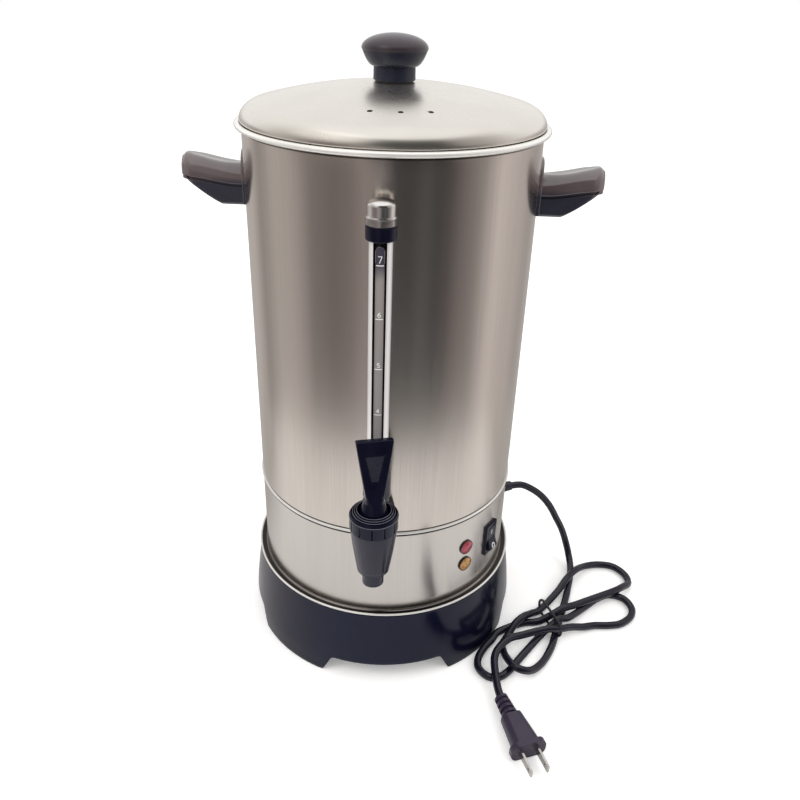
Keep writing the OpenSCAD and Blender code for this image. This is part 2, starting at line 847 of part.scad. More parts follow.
module clamp_nut() {
    color("silver") at_tank() nut(stud_r * 2, stud_r + pin_fit, clamp_z - clamp_nut_t, clamp_nut_t);
}

// The disc thermostat clipped under the tank floor.
module thermostat() {
    color("tan")
    at_tank()
    translate([0, (warm_out + tank_in) / 2, under_z - thermostat_h])
    cylinder(r = thermostat_r, h = thermostat_h);
}

module thermal_fuse() {
    color("white")
    at_tank()
    translate([-(warm_out + tank_in) / 2, -26, under_z - fuse_r - fit])
    rotate([-90, 0, 0]) cylinder(r = fuse_r, h = 24);
}

module terminal_block() {
    color("ivory")
    at_tank()
    translate([-block_l / 2, -block_w / 2, block_z]) cube([block_l, block_w, block_h]);
}

// The leads from heaters, lamps, switch and cord to the terminal block.
module wiring() {
    side_z = block_z + block_h / 2;
    gap = pin_fit;
    block_y = block_w / 2 + gap;
    function out(az, n, z) = [n * sin(az), -n * cos(az), z];
    lamp_n = tank_in - lamp_len - gap;
    switch_n = tank_in - switch_deep - gap;
    color("maroon")
    at_tank() {
        for (side = [-1, 1]) {
            wire([[side * tab_x, 0, heater_z - tab_h - gap], [side * tab_x, 0, block_z + block_h + gap]]);
            wire([[side * warm_mid, 0, under_z - warm_t - tab_h - gap], [side * warm_mid, 0, side_z],
                [side * (block_l / 2 + gap), 0, side_z]]);
        }
        for (i = [0, 1])
            wire([out(lamp_az, lamp_n, lamp_zs[i]), out(lamp_az, lamp_n - 6, lamp_zs[i]),
                [14 - 10 * i, -block_y - 14, side_z], [14 - 10 * i, -block_y, side_z]]);
        wire([out(switch_az, switch_n, switch_z), out(switch_az, switch_n - 6, switch_z),
            [block_l / 2 - 2, -block_y - 8, side_z + 4], [block_l / 2 - 2, -block_y, side_z + 4]]);
        wire([out(bushing_az, tank_in - 5, bushing_z), [60, 24, bushing_z],
            [12, block_y + 14, side_z], [12, block_y, side_z]]);
    }
}

// ---- Cord, its bushing, its tie and its plug ----

// The strain relief: a flange on each face of the wall and a taper that ends where the cord begins.
module cord_bushing() {
    color("black")
    at_tank()
    difference() {
        on_wall(bushing_az, bushing_z)
        rotate_extrude()
        polygon([[0, -tank_wall - 4.2], [bushing_r, -tank_wall - 4.2], [bushing_r, -tank_wall - 0.6],
            [bushing_r - 1, -tank_wall - 0.6], [bushing_r - 1, 0.5], [bushing_r, 0.5],
            [bushing_r, 3], [bushing_r - 2, 4.5], [cord_d / 2 + 1, bushing_l], [0, bushing_l]]);
        intersection() {
            tube(tank_in - fit, tank_r + fit, bushing_z - 20, bushing_z + 20);
            on_wall(bushing_az, bushing_z)
                translate([0, 0, -10]) tube(bushing_r - 1, bushing_r + 4, 0, 20);
        }
    }
}

function unit(v) = v / norm(v);
function tangent(p, i) = unit(p[min(i + 1, len(p) - 1)] - p[max(i - 1, 0)]);
function level(n, t) = unit(n - (n * t) * t);

// A round tube along points, from rings that turn with the route as little as they can.
module sweep(points, r, sides, first) {
    n = len(points);
    ts = [for (i = [0 : n - 1]) tangent(points, i)];
    ns = [for (i = 0, v = level(first, ts[0]); i < n; i = i + 1, v = i < n ? level(v, ts[i]) : v) v];
    rings = [for (i = [0 : n - 1], k = [0 : sides - 1])
        let (b = cross(ts[i], ns[i]), a = 360 * k / sides)
        points[i] + r * (cos(a) * ns[i] + sin(a) * b)];
    sides_of = [for (i = [0 : n - 2], k = [0 : sides - 1])
        let (m = (k + 1) % sides)
        [i * sides + k, (i + 1) * sides + k, (i + 1) * sides + m, i * sides + m]];
    ends = [[for (k = [0 : sides - 1]) k], [for (k = [sides - 1 : -1 : 0]) (n - 1) * sides + k]];
    polyhedron(points = rings, faces = concat(sides_of, ends), convexity = 10);
}

// A closed loop of round wire along points in one upright plane, whose normal is given.
module hoop(points, r, sides, normal) {
    n = len(points);
    rings = [for (i = [0 : n - 1], k = [0 : sides - 1])
        let (t = unit(points[(i + 1) % n] - points[(i + n - 1) % n]), b = cross(t, normal), a = 360 * k / sides)
        points[i] + r * (cos(a) * normal + sin(a) * b)];
    faces = [for (i = [0 : n - 1], k = [0 : sides - 1])
        let (m = (k + 1) % sides, j = (i + 1) % n)
        [i * sides + k, j * sides + k, j * sides + m, i * sides + m]];
    polyhedron(points = rings, faces = faces, convexity = 10);
}

module cord() {
    color("black") at_tank() sweep(cord_points, cord_d / 2, 10, [0, 1, 0]);
}

// The thin tie round the middle of the hank.
module cord_tie() {
    d = unit(tie_b - tie_a);
    l = norm(tie_b - tie_a);
    round = (tie_top - 2 * tie_r) / 2;
    loop = [for (i = [0 : 35])
        let (a = 10 * i, x = round * cos(a) + (cos(a) > 0.01 ? l - round : cos(a) < -0.01 ? round : l / 2))
        [tie_a[0] + d[0] * x, tie_a[1] + d[1] * x, tie_r + round + round * sin(a)]];
    color("black") at_tank() hoop(loop, tie_r, 8, [-d[1], d[0], 0]);
}

// Puts a piece at the plug: its +X runs from the cord to the blades.
module at_plug() {
    at_tank() translate(plug_at) rotate([0, 0, plug_a]) children();
}

// A slab across the plug with rounded edges, for the hulls of its body.
module plug_slab(x, w, h, t) {
    r = h / 2.6;
    for (y = [-1, 1], z = [-1, 1])
        translate([x, y * (w / 2 - r), z * (h / 2 - r)])
        rotate([0, 90, 0]) cylinder(r = r, h = t, $fn = 32);
}

// The moulded plug: a ribbed relief, a grip that widens and a flange behind the face.
module plug_body() {
    color("black")
    at_plug() {
        rotate([0, 90, 0]) cylinder(r1 = cord_d / 2 + 0.6, r2 = cord_d / 2 + 1.6, h = relief_l + 0.5);
        for (i = [0 : 3])
            translate([1 + i * relief_l / 4, 0, 0])
            rotate([0, 90, 0]) cylinder(r = cord_d / 2 + 2.2 + 0.3 * i, h = relief_l / 8);
        hull() {
            plug_slab(relief_l, 16.5, 12, 1);
            plug_slab(relief_l + plug_l * 0.45, 18.5, 12.6, 1);
            plug_slab(relief_l + plug_l - 1, 21, 13, 1);
        }
        hull() plug_slab(relief_l + plug_l, plug_w, plug_hh, plug_flange_t);
    }
}

module plug_blades() {
    color("silver")
    at_plug()
    for (side = [-1, 1])
        difference() {
            translate([blade_x, side * blade_gap / 2 - blade_t / 2, -blade_w / 2])
                cube([blade_l, blade_t, blade_w]);
            translate([blade_x + blade_l - 4, side * blade_gap / 2 - 5, 0])
                rotate([-90, 0, 0]) cylinder(r = 1.5, h = 10);
        }
}

// ---- Lamps and switch ----

module pilot_bezels() {
    color("black")
    at_tank()
    for (z = lamp_zs)
        on_wall(lamp_az, z) tube(lens_r + pin_fit, bezel_r, pin_fit, bezel_t);
}

// One lens: a short barrel through the wall with a shallow domed face.
module lens(z) {
    dome_r = (pow(lens_r, 2) + 1) / 2;
    at_tank()
    on_wall(lamp_az, z) {
        translate([0, 0, -tank_wall - 0.4]) cylinder(r = lens_r, h = bezel_t + tank_wall + 0.4);
        intersection() {
            translate([0, 0, bezel_t + 1 - dome_r]) sphere(r = dome_r);
            translate([0, 0, bezel_t - 0.5]) cylinder(r = lens_r, h = 5);
        }
    }
}

module red_lens() {
    color("red") lens(lamp_zs[0]);
}

module amber_lens() {
    color("orange") lens(lamp_zs[1]);
}

module lamp_bodies() {
    color("dimgray")
    at_tank()
    for (z = lamp_zs)
        on_wall(lamp_az, z) {
            translate([0, 0, -tank_wall - 2.4]) cylinder(r = lens_r + 1.2, h = 2);
            translate([0, 0, -tank_wall - lamp_len]) cylinder(r = lens_r - 0.4, h = lamp_len - 1.4);
        }
}

// The switch housing: a frame on the wall and a box behind it with room for the rocker.
module switch_body() {
    color("black")
    at_tank()
    difference() {
        on_wall(switch_az, switch_z) {
            difference() {
                union() {
                    translate([-switch_w / 2, -switch_hh / 2, -1]) cube([switch_w, switch_hh, switch_t + 1]);
                    translate([-switch_in_w / 2, -switch_in_h / 2, -tank_wall - switch_deep])
                        cube([switch_in_w, switch_in_h, tank_wall + switch_deep]);
                }
                translate([-rocker_w / 2 - run, -rocker_r - run, rocker_z - 8])
                    cube([rocker_w + 2 * run, 2 * (rocker_r + run), 20]);
                translate([-switch_in_w / 2 + 0.2, 0, rocker_z])
                    rotate([0, 90, 0]) cylinder(r = trunnion_r + pin_fit, h = switch_in_w - 0.4);
            }
        }
        intersection() {
            tube(tank_r - 5, tank_r + pin_fit, switch_z - 30, switch_z + 30);
            on_wall(switch_az, switch_z)
                difference() {
                    translate([-20, -20, -10]) cube([40, 40, 20]);
                    translate([-switch_in_w / 2, -switch_in_h / 2, -11]) cube([switch_in_w, switch_in_h, 22]);
                }
        }
    }
}

// The rocker with its lower end out, as it stands at rest.
module switch_rocker() {
    rise = rocker_r * tan(rocker_tilt);
    face = switch_t - rocker_z + 0.2;
    color("black")
    at_tank()
    on_wall(switch_az, switch_z)
    translate([0, 0, rocker_z])
    rotate([-rocker_tilt, 0, 0]) {
        rotate([90, 0, 90]) translate([0, 0, -rocker_w / 2]) linear_extrude(height = rocker_w)
            intersection() {
                circle(rocker_r);
                polygon([[-rocker_r, face + rise], [0, face], [rocker_r, face + rise],
                    [rocker_r, -3], [-rocker_r, -3]]);
            }
        translate([-rocker_w / 2 - 0.8, 0, 0])
            rotate([0, 90, 0]) cylinder(r = trunnion_r, h = rocker_w + 1.6);
    }
}

// ---- Tap ----

// Puts a piece on the tap's upright axis.
module at_tap() {
    at_tank() translate([0, tap_y, 0]) children();
}

// The two shank washers, cut to the curve of the wall.
module tap_washers() {
    color("dimgray")
    at_tank() {
        difference() {
            translate([0, -tank_r + 6, shank_z])
                rotate([90, 0, 0]) cylinder(r = shank_r + 5.5, h = washer_t + 6);
            cylinder(r = tank_r + pin_fit, h = rim_z);
            translate([0, 0, shank_z]) rotate([90, 0, 0]) cylinder(r = shank_r + pin_fit, h = tank_r + 30);
        }
        difference() {
            intersection() {
                translate([0, -tank_in + 4, shank_z])
                    rotate([90, 0, 0]) cylinder(r = shank_r + 2.5, h = 8);
                cylinder(r = tank_in - pin_fit, h = rim_z);
            }
            translate([0, 0, shank_z]) rotate([90, 0, 0]) cylinder(r = shank_r + pin_fit, h = tank_r + 30);
        }
    }
}

module tap_nut() {
    color("silver")
    at_tank()
    translate([0, -tank_in + 4, shank_z])
    rotate([-90, 0, 0])
    nut(shank_r * 1.54, shank_r + pin_fit, 0, 6);
}

// The tap's moulded body: shank, arm, barrel and the socket that carries the gauge.
module tap_body() {
    color("black")
    at_tank()
    difference() {
        union() {
            translate([0, -shank_end, shank_z])
                rotate([90, 0, 0]) cylinder(r = shank_r, h = shank_flange_y - shank_end + 1);
            translate([0, -shank_flange_y, shank_z])
                rotate([90, 0, 0]) cylinder(r = shank_r + 5.5, h = shank_flange_t);
            translate([0, -shank_flange_y, shank_z])
                rotate([90, 0, 0]) cylinder(r = arm_r, h = -tap_y - shank_flange_y);
            translate([0, tap_y, barrel_z])
                cylinder(r1 = barrel_bot_r, r2 = barrel_top_r, h = barrel_down + barrel_up);
            translate([0, gauge_y, shank_z]) cylinder(r = arm_r - 0.8, h = socket_z - shank_z + 1);
            translate([0, gauge_y, socket_z]) cylinder(r = socket_r, h = socket_h);
        }
        translate([0, -shank_end + 1, shank_z])
            rotate([90, 0, 0]) cylinder(r = shank_bore_r, h = -tap_y - shank_end + 1);
        translate([0, tap_y, seat_z]) cylinder(r = chamber_r, h = 60);
        translate([0, tap_y, barrel_z - 1]) cylinder(r = seat_r, h = 60);
        translate([0, tap_y, barrel_z - 1]) cylinder(r = nozzle_bore_r + 1 + pin_fit, h = 4.2);
        translate([0, tap_y, plug_z]) cylinder(r = plug_r + fit, h = 60);
        translate([0, gauge_y, shank_z]) cylinder(r = 2.6, h = 60);
        translate([0, gauge_y, guard_z - seal_t]) cylinder(r = guard_r + fit, h = socket_h + seal_t);
    }
}

// The outlet nozzle with the spigot that enters the barrel.
module tap_nozzle() {
    color("black")
    at_tap()
    difference() {
        union() {
            translate([0, 0, barrel_z - nozzle_h]) cylinder(r = nozzle_r, h = nozzle_h);
            translate([0, 0, barrel_z - 1]) cylinder(r = nozzle_bore_r + 1, h = 4);
        }
        translate([0, 0, barrel_z - nozzle_h - 1]) cylinder(r = nozzle_bore_r, h = nozzle_h + 10);
    }
}

// The screwed bonnet: a ridged cap with a cupped mouth for the lever's ball.
module tap_bonnet() {
    floor_top = plug_z + bonnet_floor_t;
    top = bonnet_z + bonnet_h;
    color("black")
    at_tap()
    difference() {
        union() {
            translate([0, 0, bonnet_z]) cylinder(r = bonnet_r, h = bonnet_h);
            translate([0, 0, plug_z]) cylinder(r = plug_r, h = plug_h + 1);
            tube(hole_r + 2.4, hole_r + 3.3, top - 0.5, top + 1.3);
            tube(hole_r + 4.1, bonnet_r - 0.6, top - 0.5, top + 1.8);
        }
        translate([0, 0, floor_top]) cylinder(r = hole_r, h = 60);
        translate([0, 0, top - 3]) cylinder(r1 = hole_r, r2 = hole_r + 2.2, h = 3.66);
        translate([0, 0, top + 0.6]) cylinder(r = hole_r + 2.2, h = 5);
        translate([0, 0, plug_z - 1]) cylinder(r = stem_r + 0.08, h = 10);
        translate([-bonnet_r - 1, 0, pivot_z])
            rotate([0, 90, 0]) cylinder(r = pin_r + 0.02, h = 2 * bonnet_r + 2);
        for (k = [0 : 11])
            rotate([0, 0, 30 * k])
            translate([-0.6, -bonnet_r - 1, bonnet_z + 1.5]) cube([1.2, 1.9, bonnet_h]);
    }
}

module lever_pin() {
    color("silver")
    at_tap()
    translate([-bonnet_r + 1, 0, pivot_z]) rotate([0, 90, 0]) cylinder(r = pin_r, h = 2 * bonnet_r - 2);
}

// The lever: a slotted ball on the pivot pin, a neck and a paddle that widens upwards.
module tap_lever() {
    slot_up = 8;
    half_w = lever_top_w / 2 - lever_round;
    half_t = lever_top_t / 2 - lever_round;
    color("black")
    at_tap()
    translate([0, 0, pivot_z])
    difference() {
        union() {
            sphere(r = ball_r);
            rotate_extrude()
                polygon([[0, 0], [ball_r * 0.97, 1.8], [ball_r * 0.925, 4], [ball_r * 0.835, 7],
                    [ball_r * 0.73, 11], [lever_neck_w / 2, lever_neck_h - 2],
                    [lever_neck_w / 2 - 0.6, lever_neck_h + 1], [0, lever_neck_h + 1]]);
            rotate([0, 0, lever_turn])
            hull() {
                for (side = [-1, 1], front = [-1, 1]) {
                    translate([side * (lever_neck_w / 2 - lever_round), front * 2.2, lever_neck_h - 2])
                        sphere(r = lever_round, $fn = 24);
                    translate([side * half_w, front * half_t, lever_top_h - lever_round])
                        sphere(r = lever_round, $fn = 24);
                }
            }
        }
        translate([-slot_half, -4.2, -ball_r - 1]) cube([2 * slot_half, 20, ball_r + 1 + slot_up]);
        translate([-slot_half, -ball_r - 1, -ball_r - 1]) cube([2 * slot_half, 30, ball_r + 1]);
        rotate([0, 90, 0]) translate([0, 0, -ball_r - 1]) cylinder(r = pin_r + pin_fit, h = 2 * ball_r + 2);
        translate([-7, cam_y, 0]) rotate([0, 90, 0]) cylinder(r = pin_r + 0.02, h = 14);
        rotate([0, 0, lever_turn]) translate([0, -lever_top_t / 2 + lever_recess, 0]) rotate([90, 0, 0])
            linear_extrude(height = 10)
            polygon([[-2.5, lever_top_h - 30.5], [2.5, lever_top_h - 30.5],
                [6.2, lever_top_h - 11.5], [-6.2, lever_top_h - 11.5]]);
    }
}

module cam_pin() {
    color("silver")
    at_tap()
    translate([-6.2, cam_y, pivot_z]) rotate([0, 90, 0]) cylinder(r = pin_r, h = 12.4);
}

// The valve stem: a rod below and a slotted blade above that the cam pin lifts.
module valve_stem() {
    lift = cam_y * sin(28);
    clear = pin_r + 0.15;
    color("silver")
    at_tap()
    difference() {
        union() {
            translate([0, 0, cup_top - 2]) cylinder(r = stem_r, h = pivot_z - 4 - cup_top + 2);
            translate([-1.3, -3.2, pivot_z - 5.5]) cube([2.6, cam_y + 5.8, 8.6]);
        }
        translate([-3, -clear, pivot_z - lift - clear]) cube([6, 2 * clear, lift + 2 * clear]);
        translate([-3, cam_y * cos(28) - clear, pivot_z - clear + 0.05])
            cube([6, cam_y * (1 - cos(28)) + 2 * clear, 2 * clear - 0.1]);
    }
}

// The soft cup that closes the seat.
module seat_cup() {
    color("white")
    at_tap()
    difference() {
        translate([0, 0, seat_z + fit]) cylinder(r1 = cup_r, r2 = cup_r - 0.8, h = cup_h);
        translate([0, 0, cup_top - 2]) cylinder(r = stem_r + 0.02, h = 5);
    }
}

// The spring between cup and bonnet that shuts the tap when the lever is let go.
module valve_spring() {
    z1 = cup_top + spring_wire + 0.05;
    z2 = plug_z - spring_wire - 0.05;
    steps = 16;
    n = spring_turns * steps;
    points = [for (i = [0 : n])
        let (a = 360 * i / steps)
        [spring_r * cos(a), spring_r * sin(a), z1 + (z2 - z1) * i / n]];
    color("silver") at_tap() sweep(points, spring_wire, 6, [1, 0, 0]);
}

// ---- Sight gauge ----

module at_gauge() {
    at_tank() translate([0, gauge_y, 0]) children();
}

module gauge_glass() {
    color("azure") at_gauge() tube(glass_r - glass_wall, glass_r, guard_z, glass_top);
}

// The bright guard tube with its front slot, arched at the top.
module gauge_guard() {
    slot_top = guard_top - slot_drop - guard_slot / 2;
    color("silver")
    at_gauge()
    difference() {
        tube(guard_in, guard_r, guard_z, guard_top);
        translate([-guard_slot / 2, -guard_r - 1, guard_z + 8])
            cube([guard_slot, guard_r, slot_top - guard_z - 8]);
        translate([0, 0, slot_top]) rotate([90, 0, 0]) cylinder(r = guard_slot / 2, h = guard_r + 1);
    }
}

module gauge_collar() {
    color("black") at_gauge() tube(guard_r + fit, collar_r, collar_z, collar_z + collar_h);
}

// The domed cap that closes the gauge.
module gauge_cap() {
    side_top = cap_z + cap_flange_h + cap_side_h;
    dome_r = (pow(cap_r, 2) + pow(cap_dome_h, 2)) / (2 * cap_dome_h);
    color("silver")
    at_gauge()
    difference() {
        union() {
            translate([0, 0, cap_z]) cylinder(r = cap_flange_r, h = cap_flange_h);
            translate([0, 0, cap_z]) cylinder(r = cap_r, h = cap_flange_h + cap_side_h);
            intersection() {
                translate([0, 0, side_top + cap_dome_h - dome_r]) sphere(r = dome_r);
                translate([0, 0, side_top - 1]) cylinder(r = cap_r, h = cap_dome_h + 2);
            }
        }
        translate([0, 0, cap_z - 1]) cylinder(r = guard_r + fit, h = guard_top - cap_z + 1.2);
    }
}

// Seals below and above the glass.
module gauge_seals() {
    color("dimgray")
    at_gauge() {
        tube(2.6, guard_r, guard_z - seal_t + pin_fit, guard_z);
        tube(glass_r + pin_fit, guard_in - pin_fit, glass_top - 4, glass_top - 1);
    }
}

// The strip behind the glass that carries the litre marks.
module gauge_marks() {
    color("gray")
    at_gauge()
    translate([-strip_w / 2, glass_r + fit, guard_z + 0.2])
    cube([strip_w, strip_t, glass_top - 4.5 - guard_z]);
}

// ---- Pump, basket, cover and lid ----

// The stem that coffee rises in, with the stop that the basket sits on.
module pump_stem() {
    color("silver")
    at_tank() {
        tube(pump_r - pump_wall, pump_r, chamber_top + 1, stem_top);
        tube(pump_r - 0.2, pump_r + 3, basket_z - 3.3, basket_z - run);
    }
}

// The pump's foot: a cone that sits in the heating well and the chamber of its valve.
module pump_foot() {
    edge = well_r - foot_gap;
    color("silver")
    at_tank()
    rotate_extrude() {
        polygon([[edge - 1.2, foot_z], [edge, foot_z], [edge, foot_z + 3],
            [pump_r + 1.2, foot_z + foot_h], [pump_r + pin_fit, foot_z + foot_h],
            [pump_r + pin_fit, chamber_top + 1], [3, chamber_top + 1], [3, chamber_top],
            [disc_r + run, chamber_top], [disc_r + run, disc_z - fit], [disc_r - 1.6, disc_z - fit],
            [disc_r - 1.6, disc_z - fit - 1], [disc_r + run + 1.2, disc_z - fit - 1],
            [disc_r + run + 1.2, chamber_top - 1], [edge - 1.2, foot_z + 2.2]]);
    }
}

module pump_valve() {
    color("silver") at_tank() translate([0, 0, disc_z]) cylinder(r = disc_r, h = disc_t);
}

// Places holes in rings about the tank's axis.
module strainer(rings, z, h) {
    for (r = rings)
        for (k = [0 : round(r / 2.6) - 1])
            rotate([0, 0, 360 * k / round(r / 2.6)])
            translate([r, 0, z]) cylinder(r = strain_r, h = h);
}

// The coffee basket: a cup with a strainer floor and a tube that slides on the stem.
module coffee_basket() {
    color("silver")
    at_tank()
    difference() {
        rotate_extrude() {
            translate([hub_in, basket_z]) square([basket_r - hub_in, basket_wall]);
            translate([basket_in, basket_z]) square([basket_wall, basket_h]);
            translate([hub_in, basket_z]) square([basket_wall, basket_h - 8]);
            translate([basket_r, basket_z + basket_h]) circle(basket_bead);
        }
        strainer([basket_r * 0.24, basket_r * 0.42, basket_r * 0.6, basket_r * 0.78], basket_z - 1, 3);
    }
}

// The spreader that lies on the basket.
module basket_cover() {
    color("silver")
    at_tank()
    difference() {
        rotate_extrude() {
            translate([pump_r + 0.5, cover_z]) square([basket_r - pump_r - 0.5, basket_wall]);
            translate([basket_r - basket_bead - 0.4 - basket_wall, cover_z - cover_lip])
                square([basket_wall, cover_lip + basket_wall]);
            translate([pump_r + 0.5, cover_z]) square([basket_wall, 4]);
        }
        strainer([basket_r * 0.3, basket_r * 0.52, basket_r * 0.74], cover_z - 1, 3);
    }
}

function lid_s(r) = min(max((r - (lid_r - 1 - lid_round)) / lid_round, 0), 1);
function lid_curve(r) = lid_z + lid_edge_h + lid_round_h * sqrt(1 - pow(lid_s(r), 2))
    + lid_rise * (1 - pow(min(r / (lid_r - 1), 1), 2));
lid_rs = concat([for (i = [0 : 12]) (lid_r - 1 - lid_round) * i / 12],
    [for (a = [15 : 15 : 90]) lid_r - 1 - lid_round + lid_round * sin(a)]);

// The domed lid with its edge band, its flange inside the mouth and three steam vents.
module lid_shell() {
    flange_r = tank_in - lid_play;
    flange_z = rim_top - lid_flange_h;
    color("silver")
    at_tank()
    difference() {
        rotate_extrude() {
            polygon(concat(
                [for (r = lid_rs) [r, lid_curve(r)]],
                [[lid_r, lid_z + lid_edge_h - 0.4], [lid_r, lid_z], [lid_r - tank_wall, lid_z],
                    [lid_r - tank_wall, lid_z + lid_edge_h - 1],
                    [flange_r, lid_curve(flange_r) - 2 * tank_wall], [flange_r, flange_z],
                    [flange_r - tank_wall, flange_z],
                    [flange_r - tank_wall, lid_curve(flange_r) - tank_wall]],
                [for (i = [len(lid_rs) - 7 : -1 : 0]) [lid_rs[i], lid_curve(lid_rs[i]) - tank_wall]]));
        }
        for (k = [-1 : 1])
            rotate([0, 0, vent_az + vent_step * k])
            translate([0, -vent_ring_r, lid_z]) cylinder(r = vent_r, h = 40);
        translate([0, 0, lid_z]) cylinder(r = knob_screw_r + fit, h = 60);
    }
}

// The knob: a waisted neck, a bowl that widens to a crisp edge and a low dome.
module lid_knob() {
    dome_r = (pow(knob_r, 2) + pow(knob_dome_h, 2)) / (2 * knob_dome_h);
    color("black")
    at_tank()
    difference() {
        union() {
            rotate_extrude()
                polygon(concat(
                    [[0, knob_z], [neck_r + 0.6, knob_z], [neck_r, knob_z + 2], [neck_r - 0.4, knob_z + neck_h]],
                    [for (a = [10 : 10 : 90])
                        [neck_r + (knob_r - neck_r) * sin(a), knob_z + neck_h + knob_bowl_h * (1 - cos(a)) - 0.6]],
                    [[knob_r, knob_edge_z], [0, knob_edge_z]]));
            intersection() {
                translate([0, 0, knob_edge_z + knob_dome_h - dome_r]) sphere(r = dome_r);
                translate([0, 0, knob_edge_z - 1]) cylinder(r = knob_r, h = knob_dome_h + 2);
            }
        }
        translate([0, 0, knob_z - 1]) cylinder(r = knob_screw_r + pin_fit, h = knob_screw_in + 1.5);
    }
}

module knob_washer() {
    color("dimgray") at_tank() tube(knob_screw_r + fit, neck_r - 1, lid_top, knob_z);
}

// The screw that holds the knob from under the lid.
module knob_screw() {
    head_z = lid_top - tank_wall - 2.5;
    color("silver")
    at_tank() {
        translate([0, 0, head_z]) cylinder(r = knob_screw_r * 2, h = 2.4);
        translate([0, 0, head_z + 1]) cylinder(r = knob_screw_r, h = knob_z + knob_screw_in - head_z - 1);
    }
}
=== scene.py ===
from math import asin, cos, degrees, pi, radians, sin
import bpy
import numpy as np
from mathutils import Matrix


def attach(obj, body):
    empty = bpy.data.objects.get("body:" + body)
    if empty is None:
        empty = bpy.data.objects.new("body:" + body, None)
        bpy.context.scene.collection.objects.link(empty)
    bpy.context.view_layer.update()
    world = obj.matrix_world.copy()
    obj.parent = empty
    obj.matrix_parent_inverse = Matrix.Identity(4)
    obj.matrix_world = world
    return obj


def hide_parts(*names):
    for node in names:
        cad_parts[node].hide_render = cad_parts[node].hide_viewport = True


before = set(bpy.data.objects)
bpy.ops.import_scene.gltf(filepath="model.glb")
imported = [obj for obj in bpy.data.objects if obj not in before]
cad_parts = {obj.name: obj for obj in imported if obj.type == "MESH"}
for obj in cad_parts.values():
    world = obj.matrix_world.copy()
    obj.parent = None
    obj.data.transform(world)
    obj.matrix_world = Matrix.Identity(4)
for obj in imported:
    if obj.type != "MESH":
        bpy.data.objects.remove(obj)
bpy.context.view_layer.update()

# The urn is dressed in millimetres from the tank's axis and the floor: x to the right, y away from
# the tap, z up. Azimuths run from the tap (0) to the right handle (90). here() turns these into the
# model's metres. n is a distance from the tank's axis.
TANK_BACK = 22.0   # the tank's axis behind the frame's origin
TANK_R = 100.0     # outside of wall and skirt
TANK_IN = 99.2     # inside of wall and skirt
SEAM_Z = 137.0     # the bead between wall and skirt
RIM_Z = 402.5
RIM_MID = 102.2    # the rolled rim's middle from the axis
BASE_H = 63.0
BASE_R = 111.0
LID_Z = 405.1      # the edge of the lid's dome
TAP_Y = -139.0     # the barrel's axis
GAUGE_Y = -113.0   # the gauge's axis
PIVOT_Z = 182.0    # the lever's pin
LEVER_YAW = radians(-14)
SWITCH_AZ, SWITCH_Z = 58.7, 101.5
BUSHING_AZ, BUSHING_Z = 112.0, 84.0
CORD_D = 6.2
WALL_SIDES = 384   # steps round the wall and its beads


# ---------------------------------------------------------------- surfaces

def here(points):
    """Millimetres from the tank's axis become metres in the model's frame."""
    return (np.asarray(points, float) + (0.0, TANK_BACK, 0.0)) / 1000.0


def smooth(a, b, x):
    """A step from 0 at a to 1 at b that starts and ends level: 3t squared less 2t cubed."""
    t = np.clip((np.asarray(x, float) - a) / (b - a), 0.0, 1.0)
    return t * t * (3.0 - 2.0 * t)


def arc(cx, cz, r, start, end, steps):
    """Points on a circle about (cx, cz) from one angle to another, in degrees."""
    a = np.radians(np.linspace(start, end, steps))
    return np.stack([cx + r * np.cos(a), cz + r * np.sin(a)], -1)


def line(a, b, steps):
    """Evenly spaced points from a to b."""
    return np.linspace(a, b, steps)


def path(*runs):
    """Runs of points joined end to end into one profile."""
    return np.concatenate([np.atleast_2d(np.asarray(r, float)) for r in runs])


def revolve(profile, origin=(0, 0, 0), along=(0, 0, 1), n=128):
    """A profile of (radius, height) pairs turned about a line: each point goes round a circle of its
    radius, at its height along the line."""
    k = np.array(along, float) / np.linalg.norm(along)
    u = np.cross(k, (0, 1, 0) if abs(k[1]) < 0.9 else (1, 0, 0))
    u /= np.linalg.norm(u)
    v = np.cross(k, u)
    a = np.linspace(0, 2 * pi, n, endpoint=False)
    ring = np.cos(a)[:, None] * u + np.sin(a)[:, None] * v
    r, h = np.asarray(profile, float).T
    return np.asarray(origin, float) + r[:, None, None] * ring + h[:, None, None] * k


def on_wall(az, across, up, out):
    """Points at an azimuth of the wall: across along the wall's tangent, up in height, out from the
    tangent plane at radius 100."""
    a = radians(az)
    side, face = np.array([cos(a), sin(a), 0.0]), np.array([sin(a), -cos(a), 0.0])
    across, up, out = np.broadcast_arrays(*(np.asarray(v, float) for v in (across, up, out)))
    return (across[..., None] * side + (TANK_R + out)[..., None] * face
            + up[..., None] * np.array([0, 0, 1.0]))


def catmull(points, steps):
    """A smooth curve through points: on each span the Catmull-Rom cubic, whose slope at a point is
    half the step between its neighbours."""
    p = np.asarray(points, float)
    p = np.concatenate([[2 * p[0] - p[1]], p, [2 * p[-1] - p[-2]]])
    a, b, c, d = p[:-3], p[1:-2], p[2:-1], p[3:]
    t = np.linspace(0, 1, steps, endpoint=False)[:, None, None]
    q = 0.5 * (2 * b + (c - a) * t + (2 * a - 5 * b + 4 * c - d) * t**2 + (3 * b - a - 3 * c + d) * t**3)
    return np.concatenate([q.transpose(1, 0, 2).reshape(-1, p.shape[1]), p[-2:-1]])


